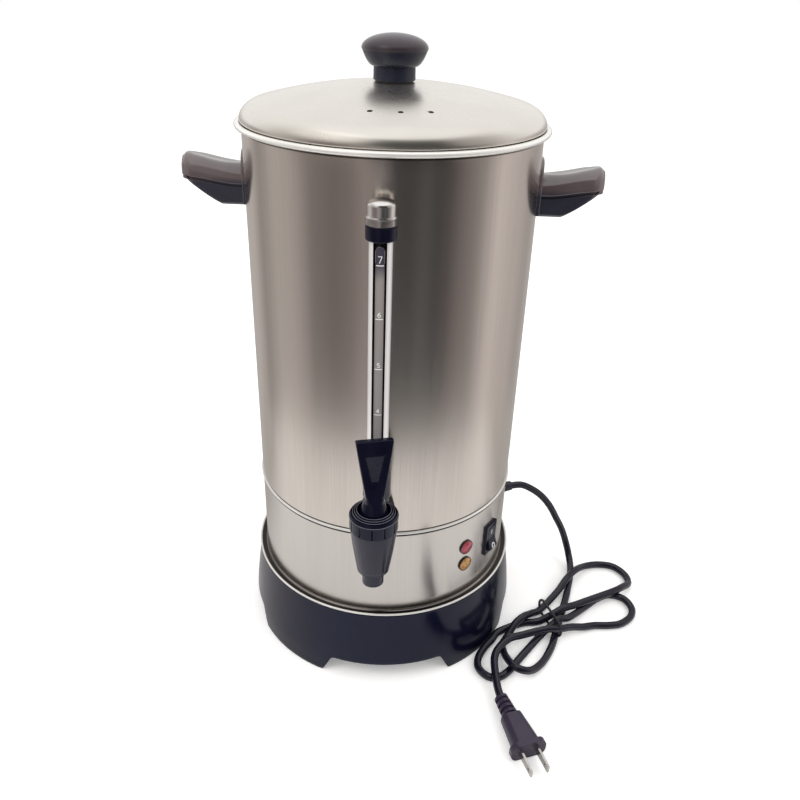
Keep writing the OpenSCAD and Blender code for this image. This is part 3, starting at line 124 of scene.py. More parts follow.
def faces_of(grid, around, looped, keep=None):
    """Four-sided faces between neighbours of a grid of points. Points that coincide become one, so
    seams and poles close, and a face that loses a side there becomes a triangle."""
    m, n = grid.shape[:2]
    flat = grid.reshape(-1, 3)
    _, first, back = np.unique(np.round(flat * 1e4).astype(np.int64), axis=0,
                               return_index=True, return_inverse=True)
    idx = back.reshape(m, n)
    i, j = np.meshgrid(np.arange(m if looped else m - 1), np.arange(n if around else n - 1), indexing="ij")
    i2, j2 = (i + 1) % m, (j + 1) % n
    q = np.stack([idx[i, j], idx[i, j2], idx[i2, j2], idx[i2, j]], -1)
    if keep is not None:
        q = q[keep[:q.shape[0], :q.shape[1]]]
    q = q.reshape(-1, 4)
    same = q == np.roll(q, -1, axis=1)
    whole = q[same.sum(1) == 0]
    tri = []
    for k in range(4):
        one = q[(same.sum(1) == 1) & same[:, k]]
        tri.append(one[:, [c for c in range(4) if c != k]])
    tri = np.concatenate(tri)
    tri = tri[(tri[:, 0] != tri[:, 1]) & (tri[:, 1] != tri[:, 2]) & (tri[:, 2] != tri[:, 0])]
    return flat[first], whole, tri


def outward(verts, quads, tris, middle):
    """Turns all faces over where, summed by area, they look towards the middle."""
    t = np.concatenate([quads[:, [0, 1, 2]], quads[:, [0, 2, 3]], tris])
    a, b, c = verts[t[:, 0]], verts[t[:, 1]], verts[t[:, 2]]
    if np.einsum("ij,ij->", np.cross(b - a, c - a), (a + b + c) / 3 - middle) < 0:
        return quads[:, ::-1], tris[:, ::-1]
    return quads, tris


def show(obj):
    """Puts an object into the scene."""
    bpy.context.scene.collection.objects.link(obj)
    return obj


def piece(name, material, body, *parts, sharp=38, slot=None, replaces=()):
    """One mesh from one or more grids, each given as (grid, settings). It rides on a body."""
    all_v, faces, count = [], [], 0
    for part in parts:
        grid, how = part if isinstance(part, tuple) else (part, {})
        v, q, t = faces_of(grid, how.get("around", True), how.get("looped", False), how.get("keep"))
        q, t = outward(v, q, t, np.asarray(how.get("middle", v.mean(0)), float))
        all_v.append(v)
        faces += (q + count).tolist() + (t + count).tolist()
        count += len(v)
    mesh = bpy.data.meshes.new(name)
    mesh.from_pydata(here(np.concatenate(all_v)).tolist(), [], faces)
    mesh.polygons.foreach_set("use_smooth", np.ones(len(mesh.polygons), bool))
    mesh.set_sharp_from_angle(angle=radians(sharp))
    mesh.update()
    obj = show(bpy.data.objects.new(name, mesh))
    mesh.materials.append(material)
    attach(obj, body)
    if replaces:
        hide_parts(*replaces)
    return obj


# ---------------------------------------------------------------- finishes

def new_finish(name):
    """An empty material with its shader."""
    mat = bpy.data.materials.new(name)
    mat.use_nodes = True
    return mat, mat.node_tree, mat.node_tree.nodes["Principled BSDF"]


def set_inputs(node, inputs):
    """Sets a node's plain input values and makes its links."""
    for key, value in inputs.items():
        if isinstance(value, bpy.types.NodeSocket):
            node.id_data.links.new(value, node.inputs[key])
        else:
            node.inputs[key].default_value = value


def add(tree, kind, inputs=None, **settings):
    """A shader node of a kind, with its settings and its inputs."""
    node = tree.nodes.new("ShaderNode" + kind)
    for key, value in settings.items():
        setattr(node, key, value)
    set_inputs(node, inputs or {})
    return node


def along_axis(tree, axis, source="Object"):
    """A point's place along one axis of its coordinates."""
    at = add(tree, "TexCoord")
    return add(tree, "SeparateXYZ", {0: at.outputs[source]}).outputs[axis]


def grain(tree, scale, detail=3.0, rough=0.55, shift=(0, 0, 0)):
    """Noise on object coordinates, stretched by a scale for each axis."""
    at = add(tree, "TexCoord")
    place = add(tree, "Mapping", {"Vector": at.outputs["Object"], "Scale": scale, "Location": shift})
    return add(tree, "TexNoise", {"Vector": place.outputs["Vector"], "Scale": 1.0, "Detail": detail,
                                  "Roughness": rough}).outputs["Fac"]


def maths(tree, operation, *values):
    """One step of arithmetic on patterns and numbers."""
    return add(tree, "Math", dict(enumerate(values)), operation=operation).outputs[0]


def multiply(tree, colour, tone):
    """A colour times a tone or a second colour."""
    return add(tree, "VectorMath", {0: colour, 1: tone}, operation="MULTIPLY").outputs[0]


def blend_colours(tree, fac, stops):
    """A colour ramp over a pattern."""
    ramp = add(tree, "ValToRGB", {"Fac": fac})
    marks = ramp.color_ramp.elements
    for mark, (pos, colour) in zip(marks, (stops[0], stops[-1])):
        mark.position, mark.color = pos, (*colour, 1)
    for pos, colour in stops[1:-1]:
        marks.new(pos).color = (*colour, 1)
    return ramp.outputs["Color"]


def span(tree, fac, low, high, a=0.3, b=0.7):
    """A pattern's range a to b taken to low to high."""
    return add(tree, "MapRange", {"Value": fac, "From Min": a, "From Max": b, "To Min": low,
                                  "To Max": high}).outputs["Result"]


def bump(tree, height, strength, distance):
    """Fine relief from a pattern."""
    return add(tree, "Bump", {"Height": height, "Strength": strength, "Distance": distance}).outputs["Normal"]


def crease_shade(tree, colour, shade_bands, rings=()):
    """Paints shade into a colour: darkens it in level bands and in rings, where shade falls in a crease.
    Each is (height or distance from the tank's axis, half width, depth) in millimetres, and fades out to
    both sides."""
    height = along_axis(tree, "Z")
    at = add(tree, "TexCoord")
    flat = add(tree, "Mapping", {"Vector": at.outputs["Object"], "Scale": (1, 1, 0),
                                 "Location": (0, -TANK_BACK / 1000.0, 0)})
    away = add(tree, "VectorMath", {0: flat.outputs["Vector"]}, operation="LENGTH").outputs["Value"]
    for along, (middle, half, depth) in [(height, c) for c in shade_bands] + [(away, c) for c in rings]:
        off = maths(tree, "ABSOLUTE", maths(tree, "SUBTRACT", along, middle / 1000.0))
        colour = multiply(tree, colour, span(tree, off, 1.0 - depth, 1.0, half * 0.0005, half * 0.001))
    return colour


def steel(name, dark, light, rough=(0.24, 0.34), brushed=(1500, 1500, 9), smear=0.0, relief=0.12,
          shade_bands=(), rings=(), metal=1.0):
    """Stainless sheet: brush lines along one axis in tint, roughness and relief, over broad clouds, with
    painted shade darkening its colour in bands and rings at creases.
    """
    mat, tree, shader = new_finish(name)
    lines = grain(tree, brushed, 4.0)
    broad = grain(tree, (26, 26, 5), 2.0, shift=(3, 1, 7))
    both = maths(tree, "ADD", span(tree, lines, 0.0, 0.6), span(tree, broad, 0.0, 0.4))
    colour = crease_shade(tree, blend_colours(tree, both, [(0.0, dark), (1.0, light)]), shade_bands, rings)
    set_inputs(shader, {"Base Color": colour, "Roughness": span(tree, both, rough[1], rough[0], 0.2, 0.8),
                        "Normal": bump(tree, lines, relief, 0.0002), "Metallic": metal})
    if smear:
        turn = add(tree, "Tangent", direction_type="RADIAL", axis="Z")
        set_inputs(shader, {"Anisotropic": smear, "Anisotropic Rotation": 0.25,
                            "Tangent": turn.outputs["Tangent"]})
    return mat


def moulded(name, dark, light, rough=(0.2, 0.3), pebble=900.0, relief=0.03, coat=0.0, gloss=0.5,
            tint=(1, 1, 1), painted_light=None, axis="Z"):
    """Moulded plastic: a little mottling, a fine skin texture and worn patches in its gloss. With bands of
    painted light and shade, (low, high, stops) in millimetres, its colour also changes along an axis."""
    mat, tree, shader = new_finish(name)
    mottle = grain(tree, (60, 60, 60), 5.0, 0.6)
    skin = grain(tree, (pebble, pebble, pebble), 2.0)
    colour = blend_colours(tree, mottle, [(0.3, dark), (0.7, light)])
    if painted_light:
        low, high, stops = painted_light
        fac = span(tree, along_axis(tree, axis), 0, 1, low / 1000.0, high / 1000.0)
        colour = multiply(tree, colour, blend_colours(tree, fac, stops))
    set_inputs(shader, {"Base Color": colour, "Roughness": span(tree, mottle, *rough),
                        "Normal": bump(tree, skin, relief, 0.0002), "Specular Tint": (*tint, 1),
                        "Coat Weight": coat, "Coat Roughness": 0.08, "Specular IOR Level": gloss})
    return mat


def tinted_lens(name, deep, bright):
    """A tinted lens moulded with small prisms: cells in its depth and relief, and a glossy face."""
    mat, tree, shader = new_finish(name)
    at = add(tree, "TexCoord")
    cells = add(tree, "TexVoronoi", {"Vector": at.outputs["Object"], "Scale": 620.0})
    depth = cells.outputs["Distance"]
    set_inputs(shader, {"Base Color": blend_colours(tree, depth, [(0.0, bright), (0.75, deep)]),
                        "Normal": bump(tree, depth, 0.25, 0.0004), "Roughness": 0.12,
                        "Transmission Weight": 0.15, "Coat Weight": 0.6})
    return mat


def clear_glass(name):
    """Tube glass tinted near black: painted shade for the dark inside of its guard seen through it, with
    faint draw lines along it.
    """
    mat, tree, shader = new_finish(name)
    lines = grain(tree, (900, 900, 4), 2.0)
    painted_shade_tint = blend_colours(tree, lines, [(0.3, (0.03, 0.03, 0.045)), (0.7, (0.05, 0.05, 0.07))])
    set_inputs(shader, {"Base Color": painted_shade_tint, "Roughness": span(tree, lines, 0.02, 0.06),
                        "Transmission Weight": 1.0, "IOR": 1.45})
    return mat


def liquid_strip(name):
    """The gauge strip: grey behind the liquid and darker above its level, with mottling."""
    mat, tree, shader = new_finish(name)
    mottle = span(tree, grain(tree, (300, 300, 60), 3.0), -0.0012, 0.0012)
    level = maths(tree, "ADD", along_axis(tree, "Z"), mottle)
    tones = blend_colours(tree, span(tree, level, 0, 1, 0.19, 0.345),
                          [(0.0, (0.25, 0.235, 0.235)), (0.93, (0.27, 0.245, 0.235)),
                           (0.98, (0.10, 0.092, 0.105)), (1.0, (0.055, 0.048, 0.07))])
    set_inputs(shader, {"Base Color": tones, "Specular IOR Level": 0.2,
                        "Roughness": span(tree, grain(tree, (500, 500, 500)), 0.3, 0.42)})
    return mat


# Tones of the black parts, (low, high, stops): across barrel and base from left to right, and up the
# handles and the knob. They stand in for how the light of the photograph falls on them.
BARREL_TONES = (-16, 16, [(0.0, (0.036, 0.033, 0.046)), (0.5, (0.020, 0.020, 0.033)),
                          (0.75, (0.008, 0.009, 0.018)), (1.0, (0.006, 0.007, 0.016))])
BASE_TONES = (-112, 112, [(0.0, (0.022, 0.016, 0.022)), (0.35, (0.008, 0.010, 0.024)),
                          (0.7, (0.003, 0.004, 0.015)), (1.0, (0.004, 0.004, 0.014))])
HANDLE_TONES = (340, 380, [(0.0, (0.03, 0.031, 0.046)), (0.52, (0.024, 0.024, 0.04)),
                           (0.64, (0.105, 0.078, 0.082)), (1.0, (0.125, 0.096, 0.10))])
KNOB_TONES = (428, 457, [(0.0, (0.016, 0.019, 0.036)), (0.6, (0.012, 0.014, 0.032)),
                         (0.70, (0.038, 0.027, 0.034)), (1.0, (0.062, 0.047, 0.060))])


def sheet_finishes():
    """The steels and the other metals, by their plain names."""
    f = {}
    # Painted shade: the wall's dark bands under the rim and over the seam, the skirt's under the seam and its
    # ring in the cove, and the lid's at its lower edge.
    f["wall"] = steel("wall_steel", (0.68, 0.62, 0.565), (0.76, 0.70, 0.645), (0.19, 0.23), smear=0.75,
                      relief=0.03, shade_bands=((399.3, 0.9, 0.75), (138.6, 0.7, 0.95)))
    f["skirt"] = steel("skirt_steel", (0.655, 0.615, 0.58), (0.72, 0.68, 0.645), (0.2, 0.25), smear=0.6,
                       relief=0.03, shade_bands=((134.9, 0.8, 0.95),), rings=((102.9, 2.9, 0.92),))
    f["lid"] = steel("lid_steel", (0.79, 0.75, 0.69), (0.84, 0.80, 0.74), (0.26, 0.30), (40, 40, 40),
                     relief=0.0, shade_bands=((404.0, 0.4, 0.8),))
    # The beads' steel is a paler copy of the wall's, half white and less metallic: a painted highlight that
    # keeps the rolled beads bright.
    f["bead"] = steel("bead_steel_painted_highlight", (0.89, 0.87, 0.835), (0.96, 0.945, 0.91), (0.14, 0.22), (300, 300, 300),
                      relief=0.0, metal=0.5)
    f["inner_steel"] = steel("inner_steel", (0.48, 0.47, 0.45), (0.66, 0.65, 0.63), (0.3, 0.42),
                             (700, 700, 30))
    f["plate"] = steel("plate_steel", (0.36, 0.36, 0.36), (0.5, 0.5, 0.5), (0.4, 0.55), (300, 300, 300))
    f["guard"] = steel("guard_steel", (0.88, 0.86, 0.86), (0.97, 0.95, 0.95), (0.16, 0.24), (900, 900, 14),
                       relief=0.02, metal=0.45)
    f["bright"] = steel("bright_steel", (0.80, 0.775, 0.75), (0.92, 0.90, 0.88), (0.14, 0.22),
                        (900, 900, 14), relief=0.03)
    f["screw"] = steel("screw_steel", (0.5, 0.5, 0.5), (0.68, 0.68, 0.68), (0.25, 0.4), (900, 900, 900))
    f["blade"] = steel("blade_metal", (0.52, 0.50, 0.47), (0.72, 0.70, 0.67), (0.15, 0.26),
                       (500, 500, 500), relief=0.06)
    f["alloy"] = steel("cast_alloy", (0.42, 0.42, 0.43), (0.6, 0.6, 0.6), (0.4, 0.6), (220, 220, 220),
                       relief=0.3)
    return f


def other_finishes():
    """The plastics, rubbers, lenses, glass and print, by their plain names."""
    grey, full = (0.8, 0.8, 0.8), (1.0, 1.0, 1.0)
    f = {}
    f["black"] = moulded("black_gloss", (0.003, 0.003, 0.010), (0.006, 0.006, 0.017), (0.1, 0.18),
                         coat=0.12, gloss=0.25, tint=(0.75, 0.8, 1.0))
    # The barrel, base, handles and knob below carry bands of painted light and shade.
    f["barrel"] = moulded("barrel_black", (0.85, 0.85, 0.85), full, (0.2, 0.27), gloss=0.45,
                          tint=(0.9, 0.88, 1.0), axis="X", painted_light=BARREL_TONES)
    f["base"] = moulded("base_black", grey, full, (0.12, 0.2), gloss=0.34, tint=(0.78, 0.8, 1.0), axis="X",
                        painted_light=BASE_TONES)
    f["handle"] = moulded("handle_black", grey, full, (0.07, 0.12), relief=0.01, coat=0.6, gloss=0.9,
                          painted_light=HANDLE_TONES)
    f["knob"] = moulded("knob_charcoal", grey, full, (0.22, 0.3), 1400.0, 0.02, gloss=0.45,
                        painted_light=KNOB_TONES)
    # A pale grey for thin rings that are painted highlights on the tap's crests.
    f["edge"] = moulded("painted_highlight_edge", (0.09, 0.09, 0.12), (0.14, 0.14, 0.18), (0.15, 0.2), coat=0.4)
    # A paler black for the lever's sunk panel: painted light on that face.
    f["panel"] = moulded("panel_painted_light", (0.014, 0.017, 0.027), (0.019, 0.023, 0.036), (0.25, 0.32))
    f["rubber"] = moulded("soft_rubber", (0.02, 0.02, 0.02), (0.05, 0.05, 0.05), (0.6, 0.75), 700.0, 0.1)
    f["cord"] = moulded("cord_black", (0.006, 0.006, 0.014), (0.011, 0.011, 0.022), (0.1, 0.16), 1600.0,
                        0.01, coat=0.3, gloss=0.45)
    f["plug"] = moulded("plug_black", (0.026, 0.019, 0.040), (0.036, 0.028, 0.054), (0.2, 0.3), 1500.0)
    f["red"] = tinted_lens("red_lens", (0.26, 0.012, 0.03), (0.66, 0.06, 0.10))
    f["amber"] = tinted_lens("amber_lens", (0.34, 0.14, 0.02), (0.78, 0.42, 0.10))
    f["bezel"] = moulded("bezel_brown", (0.03, 0.016, 0.014), (0.05, 0.028, 0.024), (0.2, 0.3))
    f["glass"] = clear_glass("tube_glass")
    f["strip"] = liquid_strip("strip_grey")
    f["print"] = moulded("white_print", (0.78, 0.77, 0.76), (0.86, 0.85, 0.84), (0.4, 0.5))
    f["vent"] = moulded("vent_shadow", (0.006, 0.006, 0.006), (0.012, 0.011, 0.01), (0.7, 0.8))
    f["cream"] = moulded("cream_plastic", (0.58, 0.53, 0.43), (0.7, 0.66, 0.56), (0.4, 0.5))
    f["lead"] = moulded("lead_cover", (0.22, 0.02, 0.015), (0.34, 0.04, 0.03), (0.4, 0.5))
    f["tie"] = moulded("tie_black", (0.012, 0.012, 0.014), (0.03, 0.03, 0.033), (0.35, 0.5))
    return f


FINISH = {**sheet_finishes(), **other_finishes()}
NODE_FINISH = {
    "wall": "tank_shell", "skirt": "lower_skirt", "lid": "lid_shell",
    "inner_steel": "tank_floor pump_stem pump_foot pump_valve coffee_basket basket_cover",
    "plate": "bottom_plate heater_clamp",
    "guard": "gauge_guard", "bright": "gauge_cap",
    "screw": "tie_rods tie_rod_nuts handle_screws heater_stud clamp_nut tap_nut cam_pin valve_stem "
             "valve_spring knob_screw",
    "black": "tap_bonnet tap_lever lever_pin gauge_collar switch_body switch_rocker",
    "barrel": "tap_body tap_nozzle", "bezel": "pilot_bezels",
    "base": "base_ring", "handle": "handle_left handle_right", "knob": "lid_knob",
    "rubber": "tap_washers gauge_seals seat_cup knob_washer",
    "cord": "cord cord_bushing", "plug": "plug_body", "tie": "cord_tie", "blade": "plug_blades",
    "red": "red_lens", "amber": "amber_lens", "glass": "gauge_glass", "strip": "gauge_marks",
    "alloy": "main_heater warm_heater", "cream": "thermostat thermal_fuse terminal_block lamp_bodies",
    "lead": "wiring",
}
for finish_name, names in NODE_FINISH.items():
    for node_name in names.split():
        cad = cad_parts[node_name]
        cad.data.materials.clear()
        cad.data.materials.append(FINISH[finish_name])


# ---------------------------------------------------------------- camera

def set_camera():
    """The photograph's view: from in front, a little to the left and above the lid."""
    cam = bpy.data.cameras.new("camera")
    cam.sensor_width, cam.lens = 36.0, 35.2997
    obj = show(bpy.data.objects.new("camera", cam))
    right, up, back = (0.99858, 0.04542, 0.02801), (-0.04643, 0.48093, 0.87553), (0.02629, -0.87558, 0.48235)
    where = (0.026684, -0.523588, 0.492551)
    obj.matrix_world = Matrix([[right[k], up[k], back[k], where[k]] for k in range(3)] + [[0, 0, 0, 1]])
    bpy.context.scene.camera = obj


set_camera()

# ---------------------------------------------------------------- cord

# The cord leaves the end of its bushing. Its route is the one of the part's source.
BUSHING_END = 120.5
CORD_START = [BUSHING_END * sin(radians(BUSHING_AZ)), -BUSHING_END * cos(radians(BUSHING_AZ)), BUSHING_Z]
CORD_ROUTE = [
    [122, 48.5, 83], [132, 50, 78], [142, 51, 70], [151, 51, 59], [158, 51, 46.5], [165, 51, 33.5],
    [170, 48, 21], [173, 42, 11.5], [174, 31, 5.5], [172, 18, 3.5], [168, 3, 3.5], [164, -11, 3.5],
    [154, -41, 3.5], [149, -56, 3.5], [144, -70, 3.5], [136, -85, 3.5], [127, -96, 5.5],
    [119, -101, 9], [111, -99, 10.5], [106, -90, 9], [104, -79, 5], [104, -69, 3.5], [109, -60, 5],
    [115, -51, 9], [123, -43, 10.5], [131, -35, 7], [140, -26, 3.5], [157, -5, 5.5], [166, 7, 10],
    [176, 20, 10], [187, 32, 5.5], [201, 38, 3.5], [215, 36, 3.5], [224, 25, 3.5], [224, 12, 5],
    [216, 2, 9], [206, -6, 10.5], [181, -19, 10], [170, -25, 10], [158, -31, 10.5], [147, -37, 7.5],
    [136, -41, 3.5], [122, -44, 3.5], [102, -55, 3.5], [95, -65, 3.5], [88, -75, 3.5],
    [83, -86, 3.5], [83, -96, 3.5], [90, -104, 3.5], [99, -104, 3.5], [108, -96, 3.5],
    [118, -82, 3.5], [135, -59, 3.5], [144, -51, 7], [153, -44, 10.5], [163, -38, 7.5],
    [182, -18, 3.5], [192, -9, 3.5], [204, -3, 3.5], [216, -7, 3.5], [221, -18, 3.5],
    [218, -29, 3.5], [208, -38, 3.5], [197, -41, 3.5], [185, -42, 3.5], [174, -46, 5],
    [163, -50, 8], [153, -55, 10.5], [141, -58, 12], [130, -61, 11], [119, -65, 10.5],
    [110, -69.5, 11.5], [103, -76, 11.5], [97, -85, 10.5], [95, -96, 10], [96, -116, 8.5],
    [98, -127, 7.5]]


def lay_cord():
    """The round cord: a smooth curve through its route, with the cord's own thickness."""
    line_pts = here(catmull([CORD_START] + CORD_ROUTE, 6))
    curve = bpy.data.curves.new("power_cord", "CURVE")
    curve.dimensions = "3D"
    curve.bevel_depth = CORD_D / 2000.0
    curve.bevel_resolution = 5
    curve.use_fill_caps = True
    spline = curve.splines.new("POLY")
    spline.points.add(len(line_pts) - 1)
    spline.points.foreach_set("co", np.c_[line_pts, np.ones(len(line_pts))].ravel())
    spline.use_smooth = True
    obj = show(bpy.data.objects.new("power_cord", curve))
    curve.materials.append(FINISH["cord"])
    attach(obj, "root")
    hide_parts("cord")
    length = float(np.linalg.norm(np.diff(line_pts, axis=0), axis=1).sum())
    return obj, length, line_pts[0]


power_cord, CORD_LENGTH, CORD_EXIT = lay_cord()

# ---------------------------------------------------------------- pieces


def wire(middle, z, r, press=1.0):
    """A rolled edge: a ring of round section about the axis, pressed to a share of its height."""
    section = arc(0, 0, r, 0, 345, 24) * (1, press) + (middle, z)
    return revolve(section, n=WALL_SIDES), {"looped": True}


def tank_wall():
    """The drawn wall and its inside as one closed profile turned about the axis, with the seam bead and
    the rolled rim as rings of their own. The outer wall is out of round by a sum of sine waves of
    at most 0.22 mm, which fade out at the bead and at the rim, as they do on rolled sheet."""
    outer = path([(TANK_IN, 135.4), (99.75, 135.4), (99.85, 138.3)],
                 line((TANK_R, 139.3), (TANK_R, 398.3), 34), [(99.8, 399.2), (99.9, 400.4), (99.9, 402.0)])
    inner = line((TANK_IN, 402.0), (TANK_IN, 136.4), 12)
    grid = revolve(path(outer, inner), n=WALL_SIDES)
    a = np.arctan2(grid[..., 0], -grid[..., 1])
    r, z = np.hypot(grid[..., 0], grid[..., 1]), grid[..., 2]
    wave = (0.10 * np.sin(5 * a + 1.0) + 0.055 * np.sin(11 * a + 0.4) + 0.035 * np.sin(17 * a + 2.1)
            + 0.018 * np.sin(29 * a + z / 90) + 0.012 * np.sin(41 * a + 1.7))
    wave *= smooth(139, 175, z) * (1 - smooth(372, 399, z)) * (r > 97)
    grid[..., :2] *= (1 + wave / r)[..., None]
    piece("tank_wall", FINISH["wall"], "root", (grid, {"looped": True}), slot="steel",
          replaces=["tank_shell"])
    piece("rolled_beads", FINISH["bead"], "root", wire(100.05, SEAM_Z, 1.05),
          wire(RIM_MID, RIM_Z - 0.4, 2.4, 0.75), slot="steel")


def skirt():
    """The skirt: a straight wall and a cove that flares outwards, turned as one closed profile, with its
    window for the switch left open, and a rolled lip as a ring of its own."""
    cove = lambda r, a, b, k: arc(101.7, 65.3, r, a, b, k)
    zs = np.concatenate([np.linspace(135.3, 114.1, 8), np.linspace(114.0, 89.0, 9), np.linspace(87, 65.4, 6)])
    upright_at = lambda r: np.stack([np.full_like(zs, r), zs], -1)
    flange = path(line((102.2, 63.6), (104.8, 63.6), 6), [(105.2, 63.5), (104.9, 63.1), (104.2, 63.1)])
    profile = path(upright_at(TANK_R), cove(1.7, 183, 268, 8), flange, cove(2.2, 265, 183, 6),
                   upright_at(TANK_IN)[::-1])
    window_half, window_up = 6.7, 12.5
    half = degrees(asin(window_half / TANK_R))
    edges = [SWITCH_AZ - half, SWITCH_AZ + half]
    a = np.unique(np.round(np.concatenate([np.arange(0, 360, 1.0), edges]), 5))
    for edge in edges:
        a = a[(np.abs(a - edge) > 0.4) | np.isclose(a, edge, atol=1e-4)]
    ra = np.radians(a)
    ring = np.stack([np.sin(ra), -np.cos(ra), 0 * ra], -1)
    grid = profile[:, 0, None, None] * ring + profile[:, 1, None, None] * np.array([0, 0, 1.0])
    mid_a = a + np.diff(np.append(a, 360)) / 2
    nxt = np.roll(profile, -1, axis=0)
    mid_z = (profile[:, 1] + nxt[:, 1]) / 2
    upright = (np.abs(profile[:, 0] - nxt[:, 0]) < 1e-6) & (profile[:, 0] < 100.5)
    window = (upright & (np.abs(mid_z - SWITCH_Z) < window_up))[:, None] & (np.abs(mid_a - SWITCH_AZ) < half)
    piece("skirt", FINISH["skirt"], "root", (grid, {"looped": True, "keep": ~window}), slot="steel",
          replaces=["lower_skirt"])
    piece("skirt_lip", FINISH["bead"], "root", wire(105.45, 64.15, 0.8), slot="steel")


def base():
    """The moulded base: at each azimuth a flared wall, which narrows by a power of the height, rises
    from the floor, or from the edge of a gap between two feet, to the top flange and goes down
    again inside. The gap's edge is a level line with round corners, steep ends and rounded feet."""
    a = np.radians(np.linspace(0, 360, 1080, endpoint=False))
    off = (np.degrees(a) - 5 + 45) % 90 - 45
    x = np.abs(BASE_R * np.sin(np.radians(off)))
    gap_z, corner = 16.3, 4.0
    low = BASE_R * sin(radians(27))
    mid = low - 6.5 - corner * 0.82
    top = np.where(x < mid, gap_z, gap_z - corner + np.sqrt(np.clip(corner**2 - (x - mid) ** 2, 0, None)))
    knee_x, knee_z = mid + corner * cos(radians(20)), gap_z - corner + corner * sin(radians(20))
    slope = knee_z * (low - x) / (low - knee_x)
    foot = 0.5 * (slope + np.sqrt(slope**2 + 1.5**2))
    z0 = np.where(x < knee_x, np.maximum(top, 0), np.minimum(foot, knee_z) * (slope > -40))
    flare = lambda z: BASE_R - 6.3 * (np.maximum(z - 12.0, 0) / (BASE_H - 12.0)) ** 1.45
    t = np.linspace(0, 1, 26)[:, None]
    z_out = z0 + 0.7 + (BASE_H - 0.9 - z0 - 0.7) * t
    rows = [np.stack([flare(z0) - 1.1, z0], -1)[None], np.stack([flare(z0) - 0.35, z0 + 0.15], -1)[None],
            np.stack([flare(z_out), z_out], -1)]
    flat = lambda r, z: np.stack([np.full_like(z0, r), np.full_like(z0, z)], -1)[None]
    rows += [flat(104.55, BASE_H - 0.3), flat(104.0, BASE_H), flat(97.0, BASE_H), flat(97.0, BASE_H - 2.1),
             flat(102.1, BASE_H - 2.1)]
    z_in = BASE_H - 2.7 + (z0 - BASE_H + 2.7) * np.linspace(0, 1, 14)[:, None]
    rows += [np.stack([flare(z_in) - 2.2, z_in], -1)]
    rz = np.concatenate(rows)
    grid = np.stack([rz[..., 0] * np.sin(a), -rz[..., 0] * np.cos(a), rz[..., 1]], -1)
    shelf = revolve([(86, 54), (105, 54), (104.6, 57), (86, 57)], n=96)
    piece("base", FINISH["base"], "root", (grid, {"looped": True}), (shelf, {"looped": True}),
          slot="black_gloss", replaces=["base_ring"])


def lid():
    """The domed lid. Its top falls by the square of the radius and rolls over into the edge band by a
    quarter ellipse; below it are the flange inside the mouth and the under side."""
    shoulder = lambda r: np.sqrt(1 - np.clip((r - 91) / 10.02, 0, 1) ** 2)
    curve = lambda r: LID_Z + 0.3 + 7.3 * shoulder(r) + 15.4 * (1 - np.minimum(r / 101, 1) ** 2)
    r = np.concatenate([np.linspace(0, 90, 40), 91 + 10 * np.sin(np.radians(np.linspace(0, 89, 26)))])
    top = np.stack([r, curve(r)], -1)
    under_r = np.linspace(97.0, 0, 24)
    edge = path([(101, 405.2), (101, 404.7), (100.85, 404.25), (100.5, 404.0), (100.2, 404.15),
                 (100.1, 405.3), (97.8, 406.6), (97.8, 392.9), (97.0, 392.9)])
    grid = revolve(path(top, edge, np.stack([under_r, curve(under_r) - 0.9], -1)), n=256)
    piece("lid", FINISH["lid"], "lid", grid, slot="steel", replaces=["lid_shell"])
    vent_n, fall = 73.0, 0.238
    rim = [(1.7, -0.2), (1.72, 0.1), (1.95, 0.16), (2.3, 0.0), (2.3, -0.2)]
    rims, shade_discs = [], []
    # The vents are not cut: each hole is a dark disc of painted shade just above the dome, inside a raised
    # rim.
    for az in np.radians([-8, 6, 20]):
        out = np.array([sin(az), -cos(az)])
        at, slope = (*(vent_n * out), float(curve(vent_n))), (*(fall * out), 1.0)
        shade_discs.append((revolve([(0, 0.06), (1.75, 0.06)], at, slope, 24), {"middle": (0, 0, 300.0)}))
        rims.append((revolve(rim, at, slope, 24), {"looped": True}))
    piece("vent_rims", FINISH["lid"], "lid", *rims, slot="steel")
    piece("vent_shade_discs", FINISH["vent"], "lid", *shade_discs)


def knob():
    """The knob: a waisted neck, a bowl whose width and height grow by two powers of the way along it,
    a crisp edge, and a low top that is a quarter of an ellipse."""
    t = np.linspace(0, 1, 16)
    bowl = np.stack([13.6 + 7.5 * t**0.62, 437.2 + 9.9 * t**1.25], -1)
    d = np.radians(np.linspace(4, 90, 22))
    dome = np.stack([21.5 * np.cos(d), 447.75 + 8.95 * np.sin(d)], -1)
    dome[-1, 0] = 0
    prof = path([(0, 428.9), (13.5, 428.9), (13.75, 429.2), (13.75, 430.2), (13.55, 436.6)], bowl,
                [(21.35, 447.45), (21.55, 447.75), (21.5, 448.1)], dome)
    piece("knob", FINISH["knob"], "lid", revolve(prof, n=128), slot="black_gloss", replaces=["lid_knob"])


